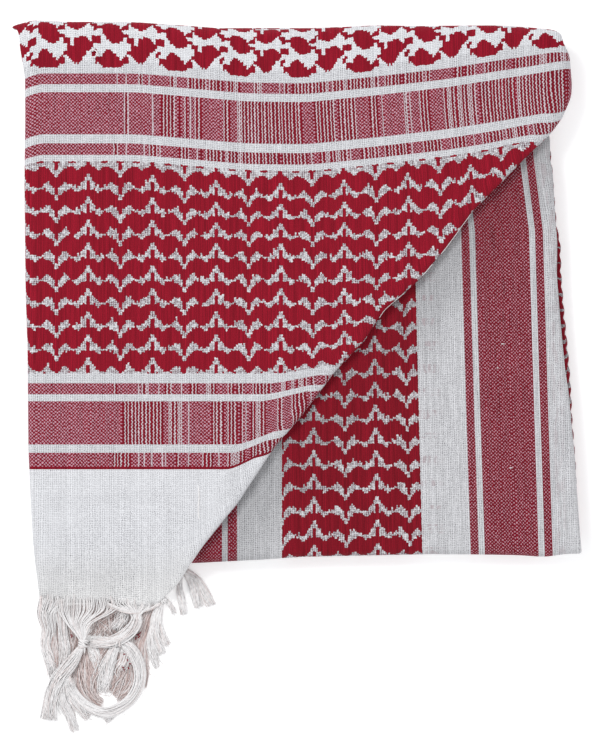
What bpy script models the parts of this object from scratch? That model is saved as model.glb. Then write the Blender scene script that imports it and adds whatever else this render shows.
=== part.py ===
"""A cotton keffiyeh, folded flat.

Every stretch of the cloth is a wall swept through sections. A section runs across the cloth (X); the
sections follow each other along the warp (Y) and, at a fold, turn over with it. Lengths in the tables
are millimetres. +X is the wearer's right of the folded cloth, +Y its top fold, and Z = 0 the surface
that it lies on.
"""

from math import asin, cos, degrees, pi, radians, sin, sqrt
from typing import NamedTuple

import bpy

MM = 0.001
SEAM_GAP = 0.3

# Each stretch is cloth folded double or in four; a single cloth is about 0.6 thick.
UPPER_WALL = 2.8
CORNER_WALL = 1.2
LOWER_WALL = 2.0
INNER_FOLD_WALL = 4.4

# Levels, from the surface up.
HIDDEN_TOP = 12.2
LOWER_TOP = HIDDEN_TOP + SEAM_GAP + LOWER_WALL
CORNER_TOP = LOWER_TOP + SEAM_GAP + CORNER_WALL
CORNER_AIR = 0.1
UPPER_TOP = CORNER_TOP + SEAM_GAP + CORNER_AIR + UPPER_WALL
INNER_FOLD_TOP = 9.9

# The two big folds across the warp.
TOP_FOLD_Y = 172.6
TOP_FOLD_RADIUS = 5.4
BOTTOM_FOLD_Y = -83.2
BOTTOM_FOLD_RADIUS = 4.3
FOLD_STEPS = 8

# How far the sides sink, and how far in from the edge they start to.
UPPER_LEFT_REACH = 9.0
FOLD_DROOP = 0.8
FOLD_REACH = 9.0
LOWER_LEFT_DROOP = 0.4

# Sections lean with a slope by this share of its angle, up to the steepest rise.
LEAN_SHARE = 0.5
STEEPEST_RISE = 0.7

POINTS_ACROSS = 12
EDGE_POINTS = 4
DROOP_POINTS = 3
CORNER_POINTS = 3
SHARP_DEG = 50.0

RED_AND_WHITE = (0.45, 0.05, 0.08)
PALE_RED = (0.55, 0.2, 0.22)
DARK_RED = (0.4, 0.04, 0.07)
WHITE = (0.74, 0.74, 0.76)
SHADED_WHITE = (0.7, 0.66, 0.67)
YARN_WHITE = (0.8, 0.78, 0.78)
CLOTH_ROUGHNESS = 0.85
YARN_ROUGHNESS = 0.9


class Station(NamedTuple):
    """Where a section stands: the top of the cloth, and how far it has turned over."""

    y: float
    z: float
    turn_deg: float


class Section(NamedTuple):
    """A section across the cloth: its two sides, its wall and how far each side droops."""

    left: float
    right: float
    wall: float
    left_droop: float
    left_reach: float
    right_droop: float
    right_reach: float


class UpperRow(NamedTuple):
    """A row of the upper stretch, from its fringed end to the top fold."""

    y: float
    top: float
    left: float
    right: float
    wall: float
    left_droop: float
    right_droop: float
    right_reach: float


UPPER_ROWS = (
    #         y      top    left   right  wall  l_droop r_droop reach
    UpperRow(-112.2, 3.6, -128.9, -74.5, 2.0, 0.6, 0.4, 5.0),
    UpperRow(-107.0, 5.6, -129.4, -66.5, 2.2, 0.8, 0.6, 5.0),
    UpperRow(-100.0, 11.0, -130.1, -58.5, 2.4, 1.2, 0.9, 6.0),
    UpperRow(-94.5, 15.6, -130.7, -54.0, 2.6, 1.6, 1.0, 7.0),
    UpperRow(-90.0, 18.0, -131.2, -50.6, 2.6, 2.2, 1.0, 7.0),
    UpperRow(-84.0, UPPER_TOP, -131.7, -46.8, 2.8, 2.6, 1.0, 7.0),
    UpperRow(-70.5, UPPER_TOP, -132.6, -37.0, 2.8, 3.0, 1.0, 7.0),
    UpperRow(-43.0, UPPER_TOP, -134.2, -17.0, 2.8, 3.0, 1.0, 7.0),
    UpperRow(-19.0, UPPER_TOP, -134.3, 1.5, 2.8, 3.0, 1.0, 7.0),
    UpperRow(6.0, UPPER_TOP, -134.6, 20.5, 2.8, 3.0, 1.0, 7.0),
    UpperRow(35.0, UPPER_TOP, -135.4, 43.5, 2.8, 3.0, 1.0, 7.0),
    UpperRow(49.0, UPPER_TOP, -135.7, 60.0, 2.8, 3.0, 1.0, 7.0),
    UpperRow(74.0, UPPER_TOP, -136.0, 81.0, 2.8, 3.0, 1.0, 7.0),
    UpperRow(93.5, UPPER_TOP, -136.2, 97.0, 2.8, 3.0, 1.4, 8.0),
    UpperRow(113.5, UPPER_TOP, -136.0, 116.5, 2.8, 3.0, 1.4, 9.0),
    UpperRow(122.0, UPPER_TOP, -135.9, 126.0, 2.8, 3.0, 2.0, 11.0),
    UpperRow(131.0, UPPER_TOP, -135.8, 132.6, 2.8, 3.0, 4.6, 12.0),
    UpperRow(142.0, UPPER_TOP, -135.8, 137.5, 2.8, 3.0, 7.5, 13.0),
    UpperRow(157.0, UPPER_TOP, -137.0, 136.9, 2.8, 2.6, 6.0, 13.0),
    UpperRow(168.0, UPPER_TOP, -138.4, 134.6, 2.8, 1.6, 3.0, 11.0),
)


class EarRow(NamedTuple):
    """How the upper stretch's sides stand at the top fold, by the share of the turn made."""

    share: float
    left: float
    right: float


EAR_ROWS = (
    #      share  left    right
    EarRow(0.0, -138.8, 133.2),
    EarRow(0.3, -141.2, 132.0),
    EarRow(0.5, -142.5, 131.2),
    EarRow(0.65, -140.0, 131.0),
    EarRow(1.0, -137.5, 131.0),
)


class TopEdge(NamedTuple):
    """How far the top fold stands out at a place across the cloth."""

    x: float
    out: float


TOP_EDGE = (
    #       x       out
    TopEdge(-142.5, -1.2),
    TopEdge(-131.5, 2.0),
    TopEdge(-81.5, 1.0),
    TopEdge(-24.0, -2.4),
    TopEdge(39.5, -0.6),
    TopEdge(100.0, -0.2),
    TopEdge(132.0, -3.0),
)
TOP_EDGE_FROM_Y = 140.0


class LowerRow(NamedTuple):
    """A row of the lower stretch, from its bottom fold upwards."""

    y: float
    left: float
    right: float


LOWER_ROWS = (
    #         y      left    right
    LowerRow(-83.2, -127.0, 142.2),
    LowerRow(-53.5, -128.0, 140.0),
    LowerRow(-21.0, -129.0, 137.3),
    LowerRow(7.0, -129.5, 134.0),
    LowerRow(31.5, -130.0, 131.7),
    LowerRow(69.5, -130.5, 130.3),
    LowerRow(104.0, -130.5, 128.0),
    LowerRow(121.0, -130.0, 126.4),
    LowerRow(130.0, -130.0, 119.0),
    LowerRow(171.5, -130.0, 117.0),
)
LOWER_CORNER_RIGHT = 142.5
LOWER_CORNER_TUCK = 0.6
LOWER_DROOP = 1.6
LOWER_REACH = 7.0


class HiddenRing(NamedTuple):
    """A ring of the hidden layers: its level and how far it stands in from each side."""

    z: float
    left: float
    right: float
    back: float
    front: float


# Three folded stretches lie on each other, so the sides run in and out like the edge of folded linen.
HIDDEN_RINGS = (
    #           z     left right back front
    HiddenRing(0.0, 4.0, 5.5, 4.5, 4.5),
    HiddenRing(1.0, 2.0, 3.2, 2.4, 2.4),
    HiddenRing(2.6, 1.4, 2.4, 1.6, 1.6),
    HiddenRing(4.2, 2.4, 3.4, 2.2, 2.8),
    HiddenRing(5.0, 4.6, 17.0, 3.6, 6.2),
    HiddenRing(6.0, 3.0, 17.0, 2.4, 6.2),
    HiddenRing(7.2, 2.6, 17.0, 2.6, 6.2),
    HiddenRing(8.0, 3.2, 17.0, 8.8, 6.2),
    HiddenRing(9.0, 5.0, 17.0, 8.8, 6.2),
    HiddenRing(10.1, 4.0, 17.0, 8.8, 6.2),
    HiddenRing(10.5, 3.6, 9.0, 8.8, 6.2),
    HiddenRing(11.4, 4.0, 9.0, 8.8, 6.2),
    HiddenRing(HIDDEN_TOP, 6.0, 11.0, 10.0, 7.6),
)


class HiddenSide(NamedTuple):
    """The outermost line of the hidden layers, by its place along the warp."""

    y: float
    left: float
    right: float


HIDDEN_SIDES = (
    #           y      left    right
    HiddenSide(-89.0, -129.0, 142.0),
    HiddenSide(-53.5, -131.0, 139.6),
    HiddenSide(-7.0, -132.8, 135.6),
    HiddenSide(31.5, -133.6, 131.4),
    HiddenSide(69.5, -134.6, 130.0),
    HiddenSide(121.0, -134.6, 126.4),
    HiddenSide(178.6, -135.6, 121.6),
)
HIDDEN_CORNER = 4.0


class InnerFoldRow(NamedTuple):
    """A row of the inner fold: its edge runs past the lower stretch's in the middle."""

    y: float
    right: float


INNER_FOLD_ROWS = (
    #             y     right
    InnerFoldRow(-80.0, 140.0),
    InnerFoldRow(-45.0, 138.0),
    InnerFoldRow(-14.0, 136.8),
    InnerFoldRow(6.0, 136.1),
    InnerFoldRow(35.0, 134.2),
    InnerFoldRow(60.0, 132.9),
    InnerFoldRow(78.0, 130.4),
    InnerFoldRow(120.0, 125.0),
    InnerFoldRow(164.0, 121.5),
)
INNER_FOLD_WIDTH = 14.0


class CornerRow(NamedTuple):
    """A row of the turned corner, which narrows to its point at both ends."""

    y: float
    left: float
    tuck: float


CORNER_ROWS = (
    #          y      left    tuck
    CornerRow(-82.0, -81.0, 4.5),
    CornerRow(-70.0, -83.0, 4.0),
    CornerRow(-19.0, -92.0, 4.0),
    CornerRow(35.0, -100.5, 4.0),
    CornerRow(93.5, -109.0, 4.5),
    CornerRow(104.0, -60.0, 5.5),
    CornerRow(118.0, 30.0, 8.0),
)


class TasselRow(NamedTuple):
    """A section through tassels that lie on the surface: its two sides and its height."""

    y: float
    left: float
    right: float
    height: float


LEFT_TASSEL_ROWS = (
    #          y       left    right   height
    TasselRow(-112.7, -127.0, -94.0, 3.0),
    TasselRow(-122.0, -128.4, -98.0, 5.0),
    TasselRow(-132.0, -129.2, -101.5, 6.4),
    TasselRow(-150.0, -129.8, -104.2, 5.4),
    TasselRow(-162.0, -130.6, -104.0, 4.6),
    TasselRow(-171.0, -128.4, -101.8, 3.6),
    TasselRow(-177.0, -114.0, -102.4, 2.4),
    TasselRow(-180.0, -111.4, -106.0, 1.2),
)

LOOPED_TASSEL_ROWS = (
    #          y       left    right   height
    TasselRow(-112.7, -88.0, -76.0, 3.0),
    TasselRow(-122.0, -92.0, -75.4, 5.0),
    TasselRow(-132.0, -100.5, -74.6, 6.4),
    TasselRow(-146.0, -103.4, -73.4, 6.0),
    TasselRow(-158.0, -103.4, -74.0, 5.4),
    TasselRow(-167.0, -101.2, -79.6, 4.6),
    TasselRow(-170.5, -97.0, -84.0, 2.4),
)

CORNER_TASSEL_ROWS = (
    #          y       left    right  height
    TasselRow(-95.0, -52.0, -47.4, 6.4),
    TasselRow(-101.0, -55.6, -44.6, 6.2),
    TasselRow(-108.0, -64.0, -41.6, 6.0),
    TasselRow(-115.0, -72.2, -41.2, 5.6),
    TasselRow(-121.0, -73.0, -53.6, 5.0),
    TasselRow(-130.0, -73.0, -60.6, 4.4),
    TasselRow(-142.0, -72.6, -62.0, 3.4),
    TasselRow(-147.4, -69.4, -65.0, 1.4),
)


def clear_scene():
    for old in list(bpy.data.objects):
        bpy.data.objects.remove(old, do_unlink=True)


def between(rows, place, column):
    """The column's value at a place, read along a table whose first column rises."""
    if place <= rows[0][0]:
        return getattr(rows[0], column)
    for low, high in zip(rows, rows[1:]):
        if place <= high[0]:
            share = (place - low[0]) / (high[0] - low[0])
            return getattr(low, column) + share * (getattr(high, column) - getattr(low, column))
    return getattr(rows[-1], column)


def eased(value):
    """0 to 1 with no corner at either end."""
    held = min(max(value, 0.0), 1.0)
    return held * held * (3.0 - 2.0 * held)


def top_edge_shift(x, y):
    """How far a point near the top fold moves along Y, so that the fold isn't ruler-straight."""
    share = eased((y - TOP_EDGE_FROM_Y) / (TOP_FOLD_Y - TOP_EDGE_FROM_Y))
    return between(TOP_EDGE, x, "out") * share


def droop(distance_in, depth, reach):
    """How far the cloth has sunk at a distance in from its edge."""
    if distance_in >= reach:
        return 0.0
    return depth * (1.0 - distance_in / reach) ** 2


def places_across(left, right, edge, reach):
    """Places across a section, close together at its rounded edges and where its sides droop."""
    rounded = [edge * (1.0 - cos(0.5 * pi * i / EDGE_POINTS)) for i in range(EDGE_POINTS)]
    sunk = [edge + (reach - edge) * i / DROOP_POINTS for i in range(DROOP_POINTS)] if reach > edge else []
    insets = rounded + sunk
    start = left + max(edge, reach)
    step = (right - left - 2.0 * max(edge, reach)) / (POINTS_ACROSS - 1)
    middle = [start + step * i for i in range(POINTS_ACROSS)]
    return [left + inset for inset in insets] + middle + [right - inset for inset in reversed(insets)]


def section_ring(section):
    """The closed ring of (x, depth below the top) round a section with rounded edges."""
    edge = section.wall / 2.0
    reach = max(section.left_reach, section.right_reach)
    xs = places_across(section.left, section.right, edge, reach)
    over = []
    under = []
    for x in xs:
        inward = min(x - section.left, section.right - x)
        sunk = droop(x - section.left, section.left_droop, section.left_reach)
        sunk += droop(section.right - x, section.right_droop, section.right_reach)
        lost = 0.0
        if inward < edge:
            lost = edge - sqrt(max(edge * edge - (edge - inward) ** 2, 0.0))
        over.append((x, sunk + lost))
        under.append((x, sunk + section.wall - lost))
    return over + under[-2:0:-1]


def placed(ring, station):
    """A section's ring stood up at its station, turned over with the cloth."""
    turn = radians(station.turn_deg)
    points = []
    for x, depth in ring:
        y = station.y - depth * sin(turn)
        z = station.z - depth * cos(turn)
        points.append((x, y + top_edge_shift(x, station.y), z))
    return points


def add_solid(name, rings, colour, roughness):
    """One closed body through rings of equal length, with a flat face at each end."""
    count = len(rings[0])
    points = [tuple(value * MM for value in point) for ring in rings for point in ring]
    faces = [tuple(reversed(range(count))), tuple(range(len(points) - count, len(points)))]
    for row in range(len(rings) - 1):
        for i in range(count):
            here = row * count + i
            beside = row * count + (i + 1) % count
            faces.append((here, beside, beside + count, here + count))
    mesh = bpy.data.meshes.new(name)
    mesh.from_pydata(points, [], faces)
    mesh.validate()
    mesh.shade_smooth()
    mesh.set_sharp_from_angle(angle=radians(SHARP_DEG))
    solid = bpy.data.objects.new(name, mesh)
    bpy.context.collection.objects.link(solid)
    material = bpy.data.materials.new(name)
    material.use_nodes = True
    shader = material.node_tree.nodes["Principled BSDF"]
    shader.inputs["Base Color"].default_value = (*colour, 1.0)
    shader.inputs["Roughness"].default_value = roughness
    shader.inputs["Metallic"].default_value = 0.0
    mesh.materials.append(material)
    return solid


def fold_stations(fold_y, top, radius, outward):
    """Stations round half a turn: outward is +1 at the top fold and -1 at the bottom fold."""
    stations = []
    for i in range(FOLD_STEPS + 1):
        turn = pi * i / FOLD_STEPS
        y = fold_y + outward * radius * sin(turn)
        z = top - radius * (1.0 - cos(turn))
        stations.append(Station(y, z, outward * 180.0 * i / FOLD_STEPS))
    return stations


def upper_stretch():
    """The end border on top: it slopes to the surface at its fringed end and rolls over the top fold."""
    rings = []
    for row, after in zip(UPPER_ROWS, UPPER_ROWS[1:] + UPPER_ROWS[-1:]):
        rise = (after.top - row.top) / max(after.y - row.y, 1.0)
        lean = -degrees(asin(min(rise, STEEPEST_RISE))) * LEAN_SHARE
        section = Section(
            row.left,
            row.right,
            row.wall,
            row.left_droop,
            UPPER_LEFT_REACH,
            row.right_droop,
            row.right_reach,
        )
        rings.append(placed(section_ring(section), Station(row.y, row.top, lean)))
    for station in fold_stations(TOP_FOLD_Y, UPPER_TOP, TOP_FOLD_RADIUS, 1.0):
        share = station.turn_deg / 180.0
        left = between(EAR_ROWS, share, "left")
        right = between(EAR_ROWS, share, "right")
        section = Section(left, right, UPPER_WALL, FOLD_DROOP, FOLD_REACH, FOLD_DROOP, FOLD_REACH)
        rings.append(placed(section_ring(section), station))
    return add_solid("upper_stretch", rings, RED_AND_WHITE, CLOTH_ROUGHNESS)


def turned_corner():
    """The triangle of the upper stretch that is turned under along the slanting fold."""
    rings = []
    for row in CORNER_ROWS:
        right = between(UPPER_ROWS, row.y, "right") - row.tuck
        section = Section(row.left, right, CORNER_WALL, 0.0, 0.0, 0.0, 0.0)
        rings.append(placed(section_ring(section), Station(row.y, CORNER_TOP, 0.0)))
    return add_solid("turned_corner", rings, WHITE, CLOTH_ROUGHNESS)


def lower_stretch():
    """The side border under the upper stretch, with its rounded right edge and its bottom fold."""
    rings = []
    for station in reversed(fold_stations(BOTTOM_FOLD_Y, LOWER_TOP, BOTTOM_FOLD_RADIUS, -1.0)):
        share = station.turn_deg / -180.0
        left = LOWER_ROWS[0].left
        right = LOWER_CORNER_RIGHT - LOWER_CORNER_TUCK * share
        section = Section(
            left, right, LOWER_WALL, LOWER_LEFT_DROOP, LOWER_REACH, FOLD_DROOP, LOWER_REACH
        )
        rings.append(placed(section_ring(section), station))
    for row in LOWER_ROWS[1:]:
        section = Section(
            row.left,
            row.right,
            LOWER_WALL,
            LOWER_LEFT_DROOP,
            LOWER_REACH,
            LOWER_DROOP,
            LOWER_REACH,
        )
        rings.append(placed(section_ring(section), Station(row.y, LOWER_TOP, 0.0)))
    return add_solid("lower_stretch", rings, PALE_RED, CLOTH_ROUGHNESS)


def inner_fold():
    """The folded edge of a deeper stretch, which peeks out past the lower stretch's right edge."""
    rings = []
    for row in INNER_FOLD_ROWS:
        left = row.right - INNER_FOLD_WIDTH
        section = Section(left, row.right, INNER_FOLD_WALL, 0.0, 0.0, 0.0, 0.0)
        rings.append(placed(section_ring(section), Station(row.y, INNER_FOLD_TOP, 0.0)))
    return add_solid("inner_fold", rings, DARK_RED, CLOTH_ROUGHNESS)


def hidden_ring(row):
    """One ring of the hidden layers, with its corners rounded."""
    front = HIDDEN_SIDES[0].y + row.front
    back = HIDDEN_SIDES[-1].y - row.back
    ys = [front + HIDDEN_CORNER] + [side.y for side in HIDDEN_SIDES[1:-1]] + [back - HIDDEN_CORNER]
    angles = [0.5 * pi * i / CORNER_POINTS for i in range(CORNER_POINTS)]
    corner = [HIDDEN_CORNER * (1.0 - cos(angle)) for angle in angles]
    rise = [HIDDEN_CORNER * (1.0 - sin(angle)) for angle in angles]
    rights = [between(HIDDEN_SIDES, y, "right") - row.right for y in ys]
    lefts = [between(HIDDEN_SIDES, y, "left") + row.left for y in ys]
    points = []
    for inset, up in zip(rise, corner):
        points.append((rights[0] - inset, front + up))
    points += list(zip(rights, ys))[1:-1]
    for inset, up in zip(corner, rise):
        points.append((rights[-1] - inset, back - up))
    points += [(edge.x, back) for edge in reversed(TOP_EDGE[2:-1])]
    for inset, up in zip(rise, corner):
        points.append((lefts[-1] + inset, back - up))
    points += reversed(list(zip(lefts, ys))[1:-1])
    for inset, up in zip(corner, rise):
        points.append((lefts[0] + inset, front + up))
    return [(x, y + top_edge_shift(x, y), row.z) for x, y in points]


def hidden_layers():
    """All that is folded between: one rounded solid on a flat underside, layered at its edges."""
    rings = [hidden_ring(row) for row in HIDDEN_RINGS]
    return add_solid("hidden_layers", rings, SHADED_WHITE, YARN_ROUGHNESS)


def tassels(name, rows):
    """A plain solid of the reach of knotted warp ends that lie on the surface."""
    rings = []
    for row in reversed(rows):
        ring = section_ring(Section(row.left, row.right, row.height, 0.0, 0.0, 0.0, 0.0))
        rings.append([(x, row.y, row.height - depth) for x, depth in ring])
    return add_solid(name, rings, YARN_WHITE, YARN_ROUGHNESS)


def main():
    clear_scene()
    hidden_layers()
    inner_fold()
    lower_stretch()
    turned_corner()
    upper_stretch()
    tassels("fringe_left", LEFT_TASSEL_ROWS)
    tassels("fringe_loop", LOOPED_TASSEL_ROWS)
    tassels("fringe_corner", CORNER_TASSEL_ROWS)


if __name__ == "__main__":
    main()
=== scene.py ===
"""A folded cotton keffiyeh: the looks of the part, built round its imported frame.

Lengths in the tables are millimetres, in the frame's own axes: +X towards the side border, +Y along the
warp towards the top fold, and Z up from the surface. Each stretch of cloth is a thin shell swept through
sections, and it carries its own cloth coordinates, so that every thread of the weave follows the folds.
"""

from __future__ import annotations

import logging
import math
from dataclasses import dataclass, field
from enum import Enum
from typing import Sequence

import bpy
import numpy as np
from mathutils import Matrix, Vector

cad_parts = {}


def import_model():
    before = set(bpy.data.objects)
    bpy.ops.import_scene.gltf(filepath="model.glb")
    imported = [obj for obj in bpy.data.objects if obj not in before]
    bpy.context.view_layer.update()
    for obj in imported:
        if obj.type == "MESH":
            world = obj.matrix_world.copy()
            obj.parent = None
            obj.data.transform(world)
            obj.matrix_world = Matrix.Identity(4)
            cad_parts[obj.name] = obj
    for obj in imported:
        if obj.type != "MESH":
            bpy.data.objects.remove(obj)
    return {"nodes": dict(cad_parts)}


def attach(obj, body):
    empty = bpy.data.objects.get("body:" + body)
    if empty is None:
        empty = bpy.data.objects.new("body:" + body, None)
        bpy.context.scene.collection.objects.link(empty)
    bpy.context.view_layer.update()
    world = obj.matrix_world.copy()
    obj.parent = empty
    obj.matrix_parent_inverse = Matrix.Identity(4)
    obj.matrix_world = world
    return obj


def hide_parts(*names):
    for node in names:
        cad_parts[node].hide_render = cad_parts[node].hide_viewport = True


LOG = logging.getLogger("keffiyeh")
MM = 0.001
CLOTH_MAP = "cloth"
SHELL_MM = 0.55
THREAD_MM = 32.0 / 36.0
PICK_MM = 0.883
COUNT_FROM = 2160.0
FOLD_SLOPE = 1.18
FOLD_OFFSET = 24.0
FRINGE_LINE = 111.5

Pair = tuple[float, float]
Colour = tuple[float, float, float]


# ---------------------------------------------------------------- numbers that vary along a line


class Curve:
    """A soft line through a short table of places and values."""

    def __init__(self, points: Sequence[Pair], soft: float) -> None:
        """Reads the table and rounds its corners.

        Args:
            points: places, rising, with the value at each.
            soft: the length over which a corner is rounded.
        """
        places = np.array([place for place, _ in points], float)
        values = np.array([value for _, value in points], float)
        step = soft / 8.0
        self.places = np.arange(places[0] - soft, places[-1] + soft + step, step)
        dense = np.interp(self.places, places, values)
        window = np.hanning(11)[1:-1]
        padded = np.pad(dense, 4, mode="edge")
        self.values = np.convolve(padded, window / window.sum(), mode="valid")

    def __call__(self, place: np.ndarray | float) -> np.ndarray:
        """Gives the value at each place."""
        return np.interp(place, self.places, self.values)


def smooth_step(value: np.ndarray, low: float, high: float) -> np.ndarray:
    """Gives 0 below low, 1 above high and a soft rise between them."""
    share = np.clip((value - low) / (high - low), 0.0, 1.0)
    return share * share * (3.0 - 2.0 * share)


@dataclass(frozen=True)
class Ripple:
    """Soft uneven ground: a few long waves at odd angles, the same at each run."""

    depth: float
    length: float
    seed: int
    waves: int = 7

    def at(self, x: np.ndarray, y: np.ndarray) -> np.ndarray:
        """Gives the height of the ripple.

        Args:
            x: places across.
            y: places along.

        Returns:
            Heights of about plus or minus the depth.
        """
        draw = np.random.default_rng(self.seed)
        total = np.zeros(np.broadcast(x, y).shape)
        for _ in range(self.waves):
            angle = draw.uniform(0.0, math.pi)
            pace = math.tau / (self.length * draw.uniform(0.6, 1.7))
            total += np.sin(pace * (x * math.cos(angle) + y * math.sin(angle)) + draw.uniform(0.0, math.tau))
        return total * self.depth / math.sqrt(self.waves)


@dataclass(frozen=True)
class Crease:
    """A soft trough or ridge along a straight run of the cloth.

    Rise is below 0 for a trough. The crease fades out at both ends.
    """

    x0: float
    y0: float
    x1: float
    y1: float
    width: float
    rise: float

    def at(self, x: np.ndarray, y: np.ndarray) -> np.ndarray:
        """Gives the crease's height at each place."""
        run = math.hypot(self.x1 - self.x0, self.y1 - self.y0)
        along_x = (self.x1 - self.x0) / run
        along_y = (self.y1 - self.y0) / run
        along = ((x - self.x0) * along_x + (y - self.y0) * along_y) / run
        aside = ((x - self.x0) * along_y - (y - self.y0) * along_x) / self.width
        fade = smooth_step(along, -0.15, 0.25) * (1.0 - smooth_step(along, 0.75, 1.15))
        return self.rise * fade * np.exp(-aside * aside)


# ---------------------------------------------------------------- meshes


def linked(name: str, mesh: bpy.types.Mesh) -> bpy.types.Object:
    """Puts a mesh in the scene under a name."""
    piece = bpy.data.objects.new(name, mesh)
    bpy.context.scene.collection.objects.link(piece)
    return piece


def grid_corners(rows: int, columns: int) -> np.ndarray:
    """Gives the four corners of each face of a grid of places."""
    index = np.arange(rows * columns).reshape(rows, columns)
    return np.stack([index[:-1, :-1], index[:-1, 1:], index[1:, 1:], index[1:, :-1]], axis=-1).reshape(-1, 4)


def cloth_mesh(name: str, places: np.ndarray, corners: np.ndarray, cloth: np.ndarray) -> bpy.types.Object:
    """Makes a smooth piece that carries cloth coordinates.

    Args:
        name: the piece's name.
        places: its places, in millimetres.
        corners: the four corners of each face.
        cloth: each place's cloth coordinates, in millimetres.

    Returns:
        The piece.
    """
    mesh = bpy.data.meshes.new(name)
    mesh.from_pydata((places.reshape(-1, 3) * MM).tolist(), [], corners.tolist())
    layer = mesh.uv_layers.new(name=CLOTH_MAP)
    layer.data.foreach_set("uv", (cloth.reshape(-1, 2)[corners.reshape(-1)] * MM).astype(np.float32).ravel())
    mesh.shade_smooth()
    return linked(name, mesh)


def shell(name: str, places: np.ndarray, cloth: np.ndarray) -> bpy.types.Object:
    """Makes a thin cloth shell from a grid of places.

    Args:
        name: the piece's name.
        places: rows by columns by 3, in millimetres, the cloth's outer face.
        cloth: rows by columns by 2, each place's cloth coordinates in millimetres.

    Returns:
        The piece, with its cloth map and a Solidify modifier.
    """
    piece = cloth_mesh(name, places, grid_corners(*places.shape[:2]), cloth)
    wall = piece.modifiers.new("wall", "SOLIDIFY")
    wall.thickness = SHELL_MM * MM
    wall.offset = -1.0
    return piece


def tied(piece: bpy.types.Object, material: bpy.types.Material) -> bpy.types.Object:
    """Dresses a piece, ties it to the frame and reports it.

    Args:
        piece: the piece.
        material: its finish.

    Returns:
        The same piece.
    """
    piece.data.materials.append(material)
    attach(piece, "root")
    LOG.info("%s: %d faces", piece.name, len(piece.data.polygons))
    return piece


# ---------------------------------------------------------------- shader arithmetic


@dataclass(frozen=True)
class Term:
    """A number in a shader tree, for use in plain arithmetic."""

    tree: bpy.types.NodeTree
    socket: bpy.types.NodeSocket

    def op(self, name: str, *others: "Term | float") -> "Term":
        """Adds one Math node on this term.

        Args:
            name: the node's operation.
            others: its second and third inputs.

        Returns:
            The node's result.
        """
        node = self.tree.nodes.new("ShaderNodeMath")
        node.operation = name
        self.tree.links.new(self.socket, node.inputs[0])
        for slot, other in zip(node.inputs[1:], others):
            if isinstance(other, Term):
                self.tree.links.new(other.socket, slot)
            else:
                slot.default_value = other
        return Term(self.tree, node.outputs[0])

    def __add__(self, other: "Term | float") -> "Term":
        """Adds."""
        return self.op("ADD", other)

    def __sub__(self, other: "Term | float") -> "Term":
        """Takes away."""
        return self.op("SUBTRACT", other)

    def __mul__(self, other: "Term | float") -> "Term":
        """Multiplies."""
        return self.op("MULTIPLY", other)

    def __truediv__(self, other: "Term | float") -> "Term":
        """Divides."""
        return self.op("DIVIDE", other)

    def flipped(self) -> "Term":
        """Gives 1 less this."""
        return (self * -1.0) + 1.0

    def above(self, other: "Term | float") -> "Term":
        """Gives 1 where this is more."""
        return self.op("GREATER_THAN", other)

    def below(self, other: "Term | float") -> "Term":
        """Gives 1 where this is less."""
        return self.op("LESS_THAN", other)

    def near(self, centre: "Term | float", half: float) -> "Term":
        """Gives 1 within half of the centre."""
        return self.op("COMPARE", centre, half)

    def ramp(self, low: float, high: float) -> "Term":
        """Gives a soft rise from 0 at low to 1 at high."""
        node = self.tree.nodes.new("ShaderNodeMapRange")
        node.interpolation_type = "SMOOTHSTEP"
        self.tree.links.new(self.socket, node.inputs["Value"])
        node.inputs["From Min"].default_value = low
        node.inputs["From Max"].default_value = high
        return Term(self.tree, node.outputs["Result"])


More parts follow.
